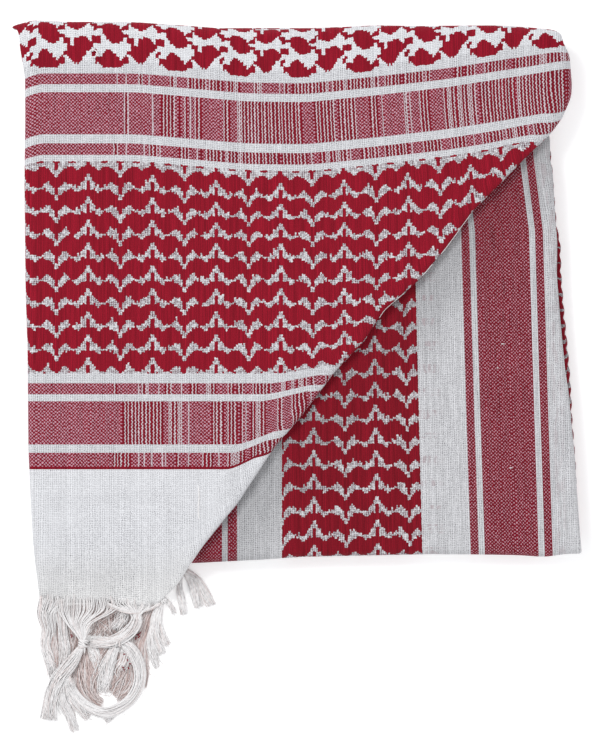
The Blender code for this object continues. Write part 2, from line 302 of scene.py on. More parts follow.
class Loom:
    """A material's tree, with the calls that the finishes need."""

    def __init__(self, name: str) -> None:
        """Starts a material with one Principled shader."""
        self.material = bpy.data.materials.new(name)
        self.material.use_nodes = True
        self.tree = self.material.node_tree
        self.shader = self.tree.nodes["Principled BSDF"]

    def cloth_place(self) -> tuple[Term, Term]:
        """Gives the cloth coordinates, across and along, in millimetres."""
        node = self.tree.nodes.new("ShaderNodeUVMap")
        node.uv_map = CLOTH_MAP
        split = self.tree.nodes.new("ShaderNodeSeparateXYZ")
        self.tree.links.new(node.outputs[0], split.inputs[0])
        return Term(self.tree, split.outputs[0]) / MM, Term(self.tree, split.outputs[1]) / MM

    def chance(self, one: Term, two: "Term | float") -> Term:
        """Gives an even random number for each pair of whole numbers."""
        joined = self.tree.nodes.new("ShaderNodeCombineXYZ")
        self.tree.links.new(one.socket, joined.inputs[0])
        if isinstance(two, Term):
            self.tree.links.new(two.socket, joined.inputs[1])
        else:
            joined.inputs[1].default_value = two
        node = self.tree.nodes.new("ShaderNodeTexWhiteNoise")
        node.noise_dimensions = "3D"
        self.tree.links.new(joined.outputs[0], node.inputs["Vector"])
        return Term(self.tree, node.outputs["Value"])

    def cloud(self, across: Term, along: Term, detail: float = 2.0) -> Term:
        """Gives soft noise over two stretched coordinates, about 0 to 1."""
        joined = self.tree.nodes.new("ShaderNodeCombineXYZ")
        self.tree.links.new(across.socket, joined.inputs[0])
        self.tree.links.new(along.socket, joined.inputs[1])
        node = self.tree.nodes.new("ShaderNodeTexNoise")
        node.noise_dimensions = "2D"
        node.inputs["Scale"].default_value = 1.0
        node.inputs["Detail"].default_value = detail
        self.tree.links.new(joined.outputs[0], node.inputs["Vector"])
        return Term(self.tree, node.outputs["Fac"])

    def chart(self, place: Term, values: Sequence[Sequence[float]]) -> tuple[Term, Term]:
        """Reads a chart of one column for each stop.

        Args:
            place: 0 to 1 across the chart.
            values: for each column, two numbers of 0 to 1.

        Returns:
            The two numbers at the place.
        """
        node = self.tree.nodes.new("ShaderNodeValToRGB")
        node.color_ramp.interpolation = "CONSTANT"
        stops = node.color_ramp.elements
        while len(stops) < len(values):
            stops.new(1.0)
        for number, (stop, row) in enumerate(zip(stops, values)):
            stop.position = number / len(values)
            stop.color = (*row, 0.0, 1.0)
        self.tree.links.new(place.socket, node.inputs[0])
        split = self.tree.nodes.new("ShaderNodeSeparateColor")
        self.tree.links.new(node.outputs[0], split.inputs[0])
        return Term(self.tree, split.outputs[0]), Term(self.tree, split.outputs[1])

    def mixed(self, share: Term, low: "Colour | bpy.types.NodeSocket",
              high: "Colour | bpy.types.NodeSocket") -> bpy.types.NodeSocket:
        """Mixes two colours.

        Args:
            share: how much of the second.
            low: the first colour, or a socket that gives one.
            high: the second.

        Returns:
            The socket of the mixed colour.
        """
        node = self.tree.nodes.new("ShaderNodeMix")
        node.data_type = "RGBA"
        self.tree.links.new(share.socket, node.inputs[0])
        for slot, colour in zip((node.inputs[6], node.inputs[7]), (low, high)):
            if isinstance(colour, tuple):
                slot.default_value = (*colour, 1.0)
            else:
                self.tree.links.new(colour, slot)
        return node.outputs[2]

    def shaded(self, colour: bpy.types.NodeSocket, shade: Term) -> bpy.types.NodeSocket:
        """Multiplies a colour by a number."""
        node = self.tree.nodes.new("ShaderNodeVectorMath")
        node.operation = "SCALE"
        self.tree.links.new(colour, node.inputs[0])
        self.tree.links.new(shade.socket, node.inputs["Scale"])
        return node.outputs[0]

    def bumped(self, height: Term, depth: float) -> None:
        """Raises the surface by a height of 0 to 1 times a depth in millimetres."""
        node = self.tree.nodes.new("ShaderNodeBump")
        node.inputs["Strength"].default_value = 1.0
        node.inputs["Distance"].default_value = depth * MM
        self.tree.links.new(height.socket, node.inputs["Height"])
        self.tree.links.new(node.outputs[0], self.shader.inputs["Normal"])

    def dress(self, base: bpy.types.NodeSocket, roughness: float, sheen: float, specular: float) -> None:
        """Gives the shader its colour, roughness, sheen and gloss.

        Args:
            base: the socket that gives the colour.
            roughness: how rough the surface is.
            sheen: the weight of the soft sheen.
            specular: the level of the gloss.
        """
        self.tree.links.new(base, self.shader.inputs["Base Color"])
        inputs = self.shader.inputs
        inputs["Roughness"].default_value = roughness
        inputs["Sheen Weight"].default_value = sheen
        inputs["Specular IOR Level"].default_value = specular


# ---------------------------------------------------------------- the weave


class Run(Enum):
    """Which way a border's bands run."""

    ALONG_WEFT = "along the weft"
    ALONG_WARP = "along the warp"


@dataclass(frozen=True)
class Band:
    """A chequered band of a border, by its two edges."""

    low: float
    high: float

    @property
    def centre(self) -> float:
        """The band's middle."""
        return 0.5 * (self.low + self.high)

    @property
    def half(self) -> float:
        """Half the band's width."""
        return 0.5 * (self.high - self.low)


@dataclass(frozen=True)
class Border:
    """A border's plan, measured from the cloth's edge inwards.

    Places are cloth coordinates in millimetres. Peak is the place across of one hook peak, and first_row the
    place along where the first row of hooks starts.
    """

    run: Run
    bands: tuple[Band, ...]
    hooks: Band
    peak: float
    first_row: float
    field_from: float = 900.0
    solid_picks: tuple[Band, ...] = ()


END_BORDER = Border(
    run=Run.ALONG_WEFT,
    bands=(
        Band(67.4, 75.2),
        Band(79.3, 100.9),
        Band(104.4, 109.9),
        Band(223.9, 229.7),
        Band(234.2, 255.2),
        Band(259.2, 264.6),
    ),
    hooks=Band(115.0, 220.6),
    peak=-8.2,
    first_row=225.9,
    field_from=267.5,
    solid_picks=(Band(66.9, 68.3),),
)

SIDE_BORDER = Border(
    run=Run.ALONG_WARP,
    bands=(
        Band(124.0, 128.0),
        Band(94.0, 121.0),
        Band(87.0, 91.0),
        Band(-34.7, -30.0),
        Band(-64.0, -37.5),
        Band(-71.0, -67.0),
    ),
    hooks=Band(-7.0, 62.5),
    peak=8.6,
    first_row=194.0,
)


@dataclass(frozen=True)
class WhiteRun:
    """One warp column of the hook motif: where its white run starts and ends, in picks below the peak."""

    top: float
    bottom: float


HOOK_COLUMNS = (
    WhiteRun(0.25, 3.90),
    WhiteRun(2.25, 9.10),
    WhiteRun(4.65, 9.10),
    WhiteRun(5.55, 9.50),
    WhiteRun(7.05, 10.50),
    WhiteRun(7.75, 11.30),
    WhiteRun(7.85, 11.20),
    WhiteRun(8.05, 10.50),
    WhiteRun(8.05, 9.70),
    WhiteRun(8.05, 9.20),
    WhiteRun(7.65, 9.00),
    WhiteRun(6.75, 9.30),
    WhiteRun(5.75, 9.90),
    WhiteRun(5.15, 10.50),
    WhiteRun(5.85, 11.30),
    WhiteRun(6.85, 12.00),
    WhiteRun(8.65, 13.20),
    WhiteRun(11.85, 15.20),
)
HOOK_PICKS = 13.0
HALF_REPEAT = 18.0
PEAK_TOP = 6.4
TOP_DASHES = 6.6
SPIKE_PICKS = 1.9
COMB_PICKS = 1.1
BUNCHED_FROM = -92.0
SINGLE_FROM = -86.0

FIELD_THREADS = 36.0
FIELD_PICKS = 15.0
FIELD_ONCE = 11.0
FIELD_SHIFT = 32.0
FIELD_RUNS = 4

# The field motif, one line for each warp of the repeat. The pairs are where its red floats start and end, in
# picks above the field's foot. Above FIELD_ONCE the motif repeats.
FIELD_COLUMNS: tuple[tuple[Pair, ...], ...] = (
    ((2.4, 6.2), (8.0, 9.6), (13.2, 17.4), (20.4, 25.4)),
    ((2.6, 5.9), (13.3, 17.4), (20.6, 23.0)),
    ((2.3, 5.8), (13.5, 17.3), (20.6, 22.8)),
    ((1.0, 6.0), (20.6, 23.0)),
    ((0.0, 7.8), (17.6, 24.4)),
    ((0.0, 9.2), (16.6, 24.6)),
    ((0.0, 9.8), (15.4, 25.0)),
    ((0.0, 9.6), (14.8, 25.2)),
    ((0.0, 9.6), (13.8, 25.2)),
    ((0.0, 9.2), (13.0, 24.8)),
    ((0.0, 8.2), (12.8, 24.2)),
    ((0.0, 7.6), (12.8, 23.8)),
    ((0.0, 6.3), (12.8, 23.4)),
    ((0.0, 5.6), (13.5, 22.9)),
    ((0.0, 4.0), (13.9, 21.0)),
    ((1.4, 5.2), (14.3, 19.0), (20.0, 22.0)),
    ((2.2, 6.4), (15.6, 18.2), (20.4, 22.6)),
    ((2.2, 6.6), (16.4, 18.0), (20.0, 23.0)),
    ((2.2, 5.8), (7.4, 9.4), (12.8, 18.0), (20.2, 25.3)),
    ((7.2, 9.5), (13.0, 15.8), (24.0, 25.3)),
    ((5.8, 15.7), (22.4, 26.0)),
    ((4.8, 15.8), (21.8, 26.0)),
    ((4.4, 12.1), (21.0, 26.0)),
    ((3.4, 12.2), (20.6, 26.0)),
    ((2.2, 15.8), (19.8, 26.0)),
    ((2.6, 15.8), (20.0, 26.0)),
    ((2.2, 16.0), (19.6, 26.0)),
    ((3.4, 17.0), (21.0, 26.0)),
    ((3.9, 17.4), (20.9, 26.0)),
    ((5.9, 17.2), (22.4, 26.0)),
    ((7.0, 16.9), (23.0, 26.0)),
    ((8.7, 15.9), (24.2, 26.0)),
    ((9.0, 15.0), (24.6, 26.0)),
    ((10.3, 14.2), (22.6, 26.0)),
    ((6.2, 9.3), (11.4, 16.8), (22.4, 25.2)),
    ((6.3, 9.6), (12.7, 17.0), (19.8, 24.8)),
)
FIELD_SCALE = 32.0
CHART_SCALE = 24.0
CHART_BASE = 4.0


@dataclass(frozen=True)
class Weave:
    """Where a shader point lies in the weave, and how its threads look there.

    Column and pick are whole numbers. Beside and beyond are the distances from the middle of the warp and
    the pick, in threads.
    """

    across: Term
    along: Term
    column: Term
    pick: Term
    beside: Term
    beyond: Term
    weft_over: Term
    height: Term
    luck: Term
    thin: Term


@dataclass(frozen=True)
class Wander:
    """Slow noise that shifts the threads: how fast it changes each way, how far it reaches and its start."""

    across: float
    along: float
    threads: float
    start: float = 0.0

    def shift(self, loom: Loom, across: Term, along: Term) -> Term:
        """Gives the shift, in threads."""
        return (loom.cloud(across * self.across + self.start, along * self.along, 1.0) - 0.5) * self.threads


@dataclass(frozen=True)
class Cotton:
    """The finish of the woven cotton, with painted shading and painted light in its colours: shading on each
    thread, shade in the holes and between the red floats, light near the fringe and a shadow below the
    slanting fold.
    """

    white: Colour = (0.76, 0.765, 0.79)
    # Painted light: a lighter, warmer white near the fringe, which offsets the shade of the steep slope there
    # and stands in for light reflected from the yarns.
    painted_end_light: Colour = (0.87, 0.865, 0.862)
    red: Colour = (0.275, 0.006, 0.019)
    pink: Colour = (0.60, 0.31, 0.38)
    # Painted shade in the holes between the threads; darker and redder in the hook panel.
    hole_shade: Colour = (0.17, 0.16, 0.18)
    dark_hole_shade: Colour = (0.15, 0.06, 0.08)
    # Near-black red, used as painted shade between the red floats and to darken the bands' red.
    gap_red: Colour = (0.10, 0.004, 0.012)
    behind: Colour = (0.36, 0.27, 0.29)
    roughness: float = 0.88
    sheen: float = 0.03
    specular: float = 0.1
    thread_relief: float = 0.14
    warp_drift: Wander = Wander(0.31, 0.004, 1.2)
    warp_sway: Wander = Wander(0.5, 0.9, 0.7, 40.0)
    pick_shake: Wander = Wander(0.9, 0.5, 1.3)
    hill_floor: float = 0.6
    painted_end_light_reach: Pair = (2.0, 34.0)
    painted_end_light_share: float = 0.9
    # Painted shadow of the flap: the side border's white darkens just below the slanting fold.
    fold_shade_reach: Pair = (-64.0, -8.0)
    fold_shade: float = -0.30

    def weave(self, name: str, border: Border) -> bpy.types.Material:
        """Dresses cloth with this weave and a border's pattern.

        Args:
            name: the material's name.
            border: the border's plan.

        Returns:
            The material.
        """
        loom = Loom(name)
        spot = self._threads(loom, border)
        hooks, figured = self._hooks(loom, border, spot)
        figure = hooks.op("MAXIMUM", self._field(loom, border, spot))
        chequer, banded = self._chequer(loom, border, spot)
        for line in border.solid_picks:
            chequer = chequer.op("MAXIMUM", spot.along.near(line.centre, line.half))
        white = self._white(loom, border, spot, figured, banded)
        red = self._red(loom, spot, chequer)
        loom.dress(loom.mixed(figure.op("MAXIMUM", chequer), white, red), self.roughness, self.sheen,
                   self.specular)
        loom.shader.inputs["Sheen Roughness"].default_value = 0.6
        loom.bumped(spot.height, self.thread_relief)
        return loom.material

    def _threads(self, loom: Loom, border: Border) -> Weave:
        """Counts the threads at a shader point.

        Args:
            loom: the material's tree.
            border: the border's plan, which places the warps.

        Returns:
            The point's place in the weave.
        """
        across, along = loom.cloth_place()
        drift, sway, shake = (wander.shift(loom, across, along)
                              for wander in (self.warp_drift, self.warp_sway, self.pick_shake))
        u = (across - border.peak) / THREAD_MM + drift + sway + COUNT_FROM
        v = along / PICK_MM + shake + COUNT_FROM
        column, pick = u.op("FLOOR"), v.op("FLOOR")
        beside, beyond = u.op("FRACT") - 0.5, v.op("FRACT") - 0.5
        weft_over = (column + pick).op("MODULO", 2.0)
        warp_hill, weft_hill = ((offset * math.pi).op("COSINE") for offset in (beside, beyond))
        rise = 1.0 - self.hill_floor
        height = (warp_hill * (weft_hill * rise + self.hill_floor)) * weft_over.flipped()
        height = height + (weft_hill * (warp_hill * rise + self.hill_floor)) * weft_over
        return Weave(across, along, column, pick, beside, beyond, weft_over, height, loom.chance(column, 3.5),
                     loom.cloud(across * 1.2, along * 0.05, 1.0) - 0.5)

    def _white(self, loom: Loom, border: Border, spot: Weave, figured: Term,
               banded: Term) -> bpy.types.NodeSocket:
        """Colours the white threads and the small holes between them, with painted shading on each thread,
        painted shade in the holes, painted light near the fringe and, on the side border, a painted shadow
        below the slanting fold.

        Args:
            loom: the material's tree.
            border: the border's plan.
            spot: the place in the weave.
            figured: 1 on the panel of hooks.
            banded: 1 where white may show pink.

        Returns:
            The socket of the colour.
        """
        along_weft = border.run is Run.ALONG_WEFT
        wider = figured * 0.17 + 0.03
        gap = (spot.beside.op("ABSOLUTE") + wider).ramp(0.14, 0.5)
        gap = gap * (spot.beyond.op("ABSOLUTE") + wider).ramp(0.08, 0.5)
        open_cloth = loom.cloud(spot.across * 0.055, spot.along * 0.02, 3.0).ramp(0.35, 0.72)
        bordered = spot.along.near(169.0, 101.5) if along_weft else spot.across.near(60.0, 200.0)
        openness = (open_cloth * 0.45 + 0.55).op("MAXIMUM", bordered)
        # Painted shade in the small holes where the threads cross.
        hole_shade = gap * openness * loom.chance(spot.column, spot.pick).ramp(0.0, 0.7)
        # Painted light near the fringe: the white turns lighter and warmer towards the cut end.
        near_end = spot.along.ramp(*self.painted_end_light_reach).flipped() * (self.painted_end_light_share if along_weft else 0.0)
        white = loom.mixed(banded, loom.mixed(near_end, self.white, self.painted_end_light), self.pink)
        white = loom.mixed(hole_shade, white, loom.mixed(figured, self.hole_shade, self.dark_hole_shade))
        streak = spot.thin * (0.12 if along_weft else 0.34)
        # The height term is painted shading: each thread is lighter on its crown and darker at its sides. The
        # rest varies the tone at random and darkens the white over the border.
        shade = spot.height * 0.24 + (spot.luck - 0.5) * 0.10 + streak + (bordered * -0.10 + 0.815)
        white = loom.shaded(white, shade)
        if along_weft:
            return white
        # Painted shadow: the white darkens towards the slanting fold, where the flap shades the layer below.
        painted_fold_shadow = (spot.along - spot.across * FOLD_SLOPE + FOLD_OFFSET).ramp(*self.fold_shade_reach)
        return self._seen_through(loom, spot, loom.shaded(white, painted_fold_shadow * self.fold_shade + 1.02))

    def _red(self, loom: Loom, spot: Weave, chequer: Term) -> bpy.types.NodeSocket:
        """Colours the red threads, with painted shade between the floats, and darker in the bands."""
        # Painted shade in the gaps between the red floats.
        float_gap_shade = spot.beside.op("ABSOLUTE").ramp(0.22, 0.52)
        red = loom.mixed(float_gap_shade * (spot.luck * 0.5 + 0.2), self.red, self.gap_red)
        red = loom.mixed(chequer * (spot.luck * 0.3 + 0.2), red, self.gap_red)
        return loom.shaded(red, (spot.luck - 0.5) * 0.30 + spot.thin * 0.75 + 1.0)

    def _chequer(self, loom: Loom, border: Border, spot: Weave) -> tuple[Term, Term]:
        """Finds the chequered bands.

        Args:
            loom: the material's tree.
            border: the border's plan.
            spot: the place in the weave.

        Returns:
            1 where a band shows red, and 1 where a band's white may show pink.
        """
        along_weft = border.run is Run.ALONG_WEFT
        place = spot.along if along_weft else spot.across
        inside, band_number = place * 0.0, place * 0.0
        for number, band in enumerate(border.bands, start=1):
            here = place.near(band.centre, band.half)
            inside, band_number = inside + here, band_number + here * number
        wide, tall = (0.45, 0.44) if along_weft else (0.36, 0.38)
        speck = spot.weft_over * spot.beside.op("ABSOLUTE").below(wide)
        cell, pink = (speck * spot.beyond.op("ABSOLUTE").below(tall)).flipped(), inside
        if along_weft:
            cell, plain = self._streaked(loom, spot, cell, band_number)
            pink = inside * plain
        return cell * inside, pink

    def _seen_through(self, loom: Loom, spot: Weave, white: bpy.types.NodeSocket) -> bpy.types.NodeSocket:
        """Lets the pattern of the layer below show faintly through the open white."""
        row = (spot.along / (HOOK_PICKS * PICK_MM)).op("FRACT")
        rungs = row.near(0.5, 0.20) * loom.chance(spot.pick, 5.5).above(0.25)
        broken = loom.cloud(spot.across * 0.5, spot.along * 0.12, 2.0).ramp(0.42, 0.66)
        near_hooks = spot.across.ramp(61.0, 64.5) * spot.across.ramp(70.0, 76.0).flipped()
        near_edge = spot.across.ramp(129.0, 131.5) * spot.across.ramp(133.0, 136.5).flipped()
        share = (rungs * broken * near_hooks) * 0.55 + broken * near_edge * 0.30
        return loom.mixed(share, white, self.behind)

    @staticmethod
    def _streaked(loom: Loom, spot: Weave, cell: Term, band_number: Term) -> tuple[Term, Term]:
        """Breaks a chequered band into bunched white warps and single ones.

        Args:
            loom: the material's tree.
            spot: the place in the weave.
            cell: 1 where the plain chequer is red.
            band_number: the band's number.

        Returns:
            1 where the band is red, and how pink its white is.
        """
        patch = loom.cloud(spot.column * 0.13, band_number * 2.7, 3.0)
        lean = spot.across.ramp(-100.0, -20.0) * 0.10 + spot.across.ramp(60.0, 130.0) * 0.06
        bunched = (patch + lean).above(0.57) * spot.across.above(BUNCHED_FROM)
        zigzag = spot.weft_over * 0.34 - 0.17
        wide = (spot.beside + zigzag).op("ABSOLUTE").below(0.33)
        paired = spot.column.op("MODULO", 2.0).op("MAXIMUM", wide.flipped())
        cell = cell * bunched.flipped() + paired * bunched
        single = loom.chance(spot.column, band_number).above(0.93) * spot.across.above(SINGLE_FROM)
        cell = cell * (single * (spot.beside + zigzag * 0.6).op("ABSOLUTE").below(0.27)).flipped()
        return cell, (bunched * 0.65).op("MAXIMUM", single * 0.6).flipped()

    def _hooks(self, loom: Loom, border: Border, spot: Weave) -> tuple[Term, Term]:
        """Finds the rows of hooks.

        Args:
            loom: the material's tree.
            border: the border's plan.
            spot: the place in the weave.

        Returns:
            1 where they are red, and 1 all over their panel.
        """
        mirrored = (spot.column + 0.5).op("PINGPONG", HALF_REPEAT)
        rows = [((one.top + CHART_BASE) / CHART_SCALE, (one.bottom + CHART_BASE) / CHART_SCALE)
                for one in HOOK_COLUMNS]
        top, bottom = (edge * CHART_SCALE - CHART_BASE for edge in loom.chart(mirrored / HALF_REPEAT, rows))
        down = (spot.pick * -1.0) + (border.first_row / PICK_MM + COUNT_FROM)
        row = (down / HOOK_PICKS).op("FLOOR")
        within = down - row * HOOK_PICKS
        luck, last_luck, comb_luck = (loom.chance(spot.column, row * 7.0 + salt)
                                      for salt in (11.0, 4.0, 23.0))
        spiked, last_spiked = (top - (odds.ramp(0.78, 1.0) * SPIKE_PICKS) * mirrored.above(3.0)
                               for odds in (luck, last_luck))
        combed = (comb_luck.ramp(0.5, 1.0) * mirrored.above(2.0)) * COMB_PICKS
        here = within.above(spiked) * within.below(bottom - combed)
        later = (within + HOOK_PICKS).above(last_spiked) * (within + HOOK_PICKS).below(bottom)
        white = here.op("MAXIMUM", later)
        along_weft = border.run is Run.ALONG_WEFT
        zone = ((spot.pick - (COUNT_FROM - 0.5)) * PICK_MM if along_weft
                else (spot.column - (COUNT_FROM - 0.5)) * THREAD_MM + border.peak)
        panel = zone.near(border.hooks.centre, border.hooks.half)
        if along_weft:
            white = self._first_row(mirrored, down, bottom, white)
        return white.flipped() * panel, panel

    @staticmethod
    def _first_row(mirrored: Term, down: Term, bottom: Term, white: Term) -> Term:
        """Opens the top of the first row of hooks, and leaves its crests, stems and dashes red.

        Args:
            mirrored: the column in the mirrored repeat.
            down: picks below the top of the panel.
            bottom: where each column's white run ends.
            white: 1 where the plain rows are white.

        Returns:
            1 where the panel is white.
        """
        crest = mirrored.below(1.0) * down.above(PEAK_TOP) + mirrored.near(1.5, 0.5) * down.above(8.0)
        stem = mirrored.above(16.6) * down.above(PEAK_TOP) * down.below(11.6)
        dash = down.near(TOP_DASHES, 0.5) * (mirrored.near(9.0, 2.0)).op("MAXIMUM", mirrored.above(15.6))
        red = crest.op("MAXIMUM", stem).op("MAXIMUM", dash)
        opening = down.below(bottom.op("MAXIMUM", mirrored.below(2.0) * 9.0)) * down.below(HOOK_PICKS + 3.0)
        white = white.op("MAXIMUM", opening * red.flipped())
        keep = red * down.below(9.0).op("MAXIMUM", stem)
        return white * (keep * down.below(11.7)).flipped()

    @staticmethod
    def _field(loom: Loom, border: Border, spot: Weave) -> Term:
        """Gives 1 where the field motif is red."""
        across = (spot.column + FIELD_SHIFT).op("MODULO", FIELD_THREADS)
        up = spot.pick + (0.5 - border.field_from / PICK_MM - COUNT_FROM)
        around = (up - FIELD_ONCE).op("MODULO", FIELD_PICKS) + FIELD_ONCE
        height = up.op("MINIMUM", FIELD_ONCE) * up.below(FIELD_ONCE) + around * up.above(FIELD_ONCE)
        found = across * 0.0
        for side in range(2):
            start = int(side * HALF_REPEAT)
            columns = FIELD_COLUMNS[start:start + int(HALF_REPEAT)]
            place = across + (0.5 - start)
            on_side = place.near(HALF_REPEAT / 2.0, HALF_REPEAT / 2.0)
            for run in range(FIELD_RUNS):
                spans = [floats[run] if run < len(floats) else (0.0, 0.0) for floats in columns]
                rows = [(low / FIELD_SCALE, high / FIELD_SCALE) for low, high in spans]
                low, high = loom.chart(place / HALF_REPEAT, rows)
                inside = height.above(low * FIELD_SCALE) * height.below(high * FIELD_SCALE)
                found = found.op("MAXIMUM", inside * on_side)
        return found * up.above(0.0)


# A darker copy of the cotton for the side border and the inner fold: its darker white, red and pink are
# painted shade of the layers that lie under the flap.
SHADED_COTTON = Cotton(white=(0.70, 0.70, 0.72), red=(0.215, 0.005, 0.014), pink=(0.52, 0.25, 0.30))


# ---------------------------------------------------------------- the stretches of cloth


@dataclass(frozen=True)
class Fold:
    """A rounded edge of a stretch: its reach sideways, its reach down, how far round and how long a tail."""

    across: np.ndarray
    down: np.ndarray
    sweep_deg: np.ndarray
    tail: float


Columns = tuple[list[np.ndarray], list[np.ndarray], list[np.ndarray]]


@dataclass
class Stretch:
    """A length of the folded cloth, as a thin shell with rounded sides and rounded ends.

    The base class sweeps the sections. The classes made from it give the outline, the level and the
    cloth coordinates.
    """

    name: str
    node: str
    slot: str
    columns: int = 150
    arc_columns: int = 10
    tail_columns: int = 6
    tail_drop: float = 0.6
    deepest_in_fold: float = 2.4

    def sweep(self, y: np.ndarray, left: np.ndarray, right: np.ndarray, left_fold: Fold,
              right_fold: Fold) -> tuple[np.ndarray, np.ndarray, np.ndarray]:
        """Lays the sections out as a grid.

        Args:
            y: each row's place along the warp.
            left: each row's outermost place on the left.
            right: each row's outermost place on the right.
            left_fold: how the left side rounds off.
            right_fold: how the right side rounds off.

        Returns:
            The grid's places across and along, its depths below the top, and its flat places.
        """
        slope = np.gradient(right, y)
        size = np.hypot(1.0, slope)
        out = np.stack([1.0 / size, -slope / size], axis=-1)
        left_out = np.stack([-np.ones_like(y), np.zeros_like(y)], axis=-1)
        left_start = np.stack([left, y], axis=-1) - left_out * left_fold.across[:, None]
        right_start = np.stack([right, y], axis=-1) - out * right_fold.across[:, None]
        left_side = self._rounded(left_start, left_out, left_fold)
        right_side = self._rounded(right_start, out, right_fold)
        between = right_start - left_start
        middle = [left_start + between * share for share in np.linspace(0.0, 1.0, self.columns)]
        top = (middle, [np.zeros_like(y)] * self.columns, middle)
        places, depths, flats = (np.stack([*before[::-1], *over, *after], axis=1)
                                 for before, over, after in zip(left_side, top, right_side))
        return places, depths, flats

    def _rounded(self, start: np.ndarray, outward: np.ndarray, fold: Fold) -> Columns:
        """Gives the columns of one rounded side, from the top outwards and under.

        Args:
            start: where the rounding starts, for each row.
            outward: which way is out, for each row.
            fold: how the side rounds off.

        Returns:
            Each column's places, depths below the top, and flat places.
        """
        spots, sunk, flat = [], [], []
        reach = 0.5 * (fold.across + fold.down)
        whole = np.radians(fold.sweep_deg)
        for step in range(1, self.arc_columns + 1):
            angle = whole * step / self.arc_columns
            spots.append(start + outward * (fold.across * np.sin(angle))[:, None])
            sunk.append(fold.down * (1.0 - np.cos(angle)))
            flat.append(start + outward * (reach * angle)[:, None])
        last_spot, last_sunk, last_flat = spots[-1], sunk[-1], flat[-1]
        for step in range(1, self.tail_columns + 1):
            more = fold.tail * step / self.tail_columns
            spots.append(last_spot + outward * (more * np.cos(whole))[:, None])
            sunk.append(last_sunk + more * np.sin(whole) * self.tail_drop)
            flat.append(last_flat + outward * more)
        return spots, sunk, flat

    def finish(self, piece: bpy.types.Object, material: bpy.types.Material) -> bpy.types.Object:
        """Dresses a piece and ties it to the frame."""
        tied(piece, material)
        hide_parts(self.node)
        return piece


@dataclass
class FoldedStretch(Stretch):
    """A visible stretch that turns over one end fold, across the whole width."""

    top: float = 0.0
    fold_y: float = 0.0
    fold_radius: float = 0.0
    row_step: float = 1.7
    fold_rows: int = 12

    def turned(self, y: np.ndarray, angle: np.ndarray, spots: np.ndarray, depth: np.ndarray,
               way: float) -> tuple[np.ndarray, np.ndarray, np.ndarray, np.ndarray]:
        """Bends the rows past the end fold round it.

        Args:
            y: each row's place along the flat cloth.
            angle: how far round the end fold each row is, 0 on the flat.
            spots: the grid's places across and along.
            depth: the grid's depths below the top.
            way: 1 for a fold at the top end, -1 for one at the bottom end.

        Returns:
            1 where a place is on the fold, its place along and its height there, and the relief on the flat.
        """
        relief = self.relief(spots[..., 0], spots[..., 1])
        radius = self.fold_radius - depth + relief * 0.5
        round_y = self.fold_y + (spots[..., 1] - y[:, None]) + way * radius * np.sin(angle[:, None])
        round_z = self.top - self.fold_radius + radius * np.cos(angle[:, None])
        return angle[:, None] > 0.0, round_y, round_z, relief

    def relief(self, x: np.ndarray, y: np.ndarray) -> np.ndarray:
        """Gives the soft ups and downs of the top."""
        raise NotImplementedError


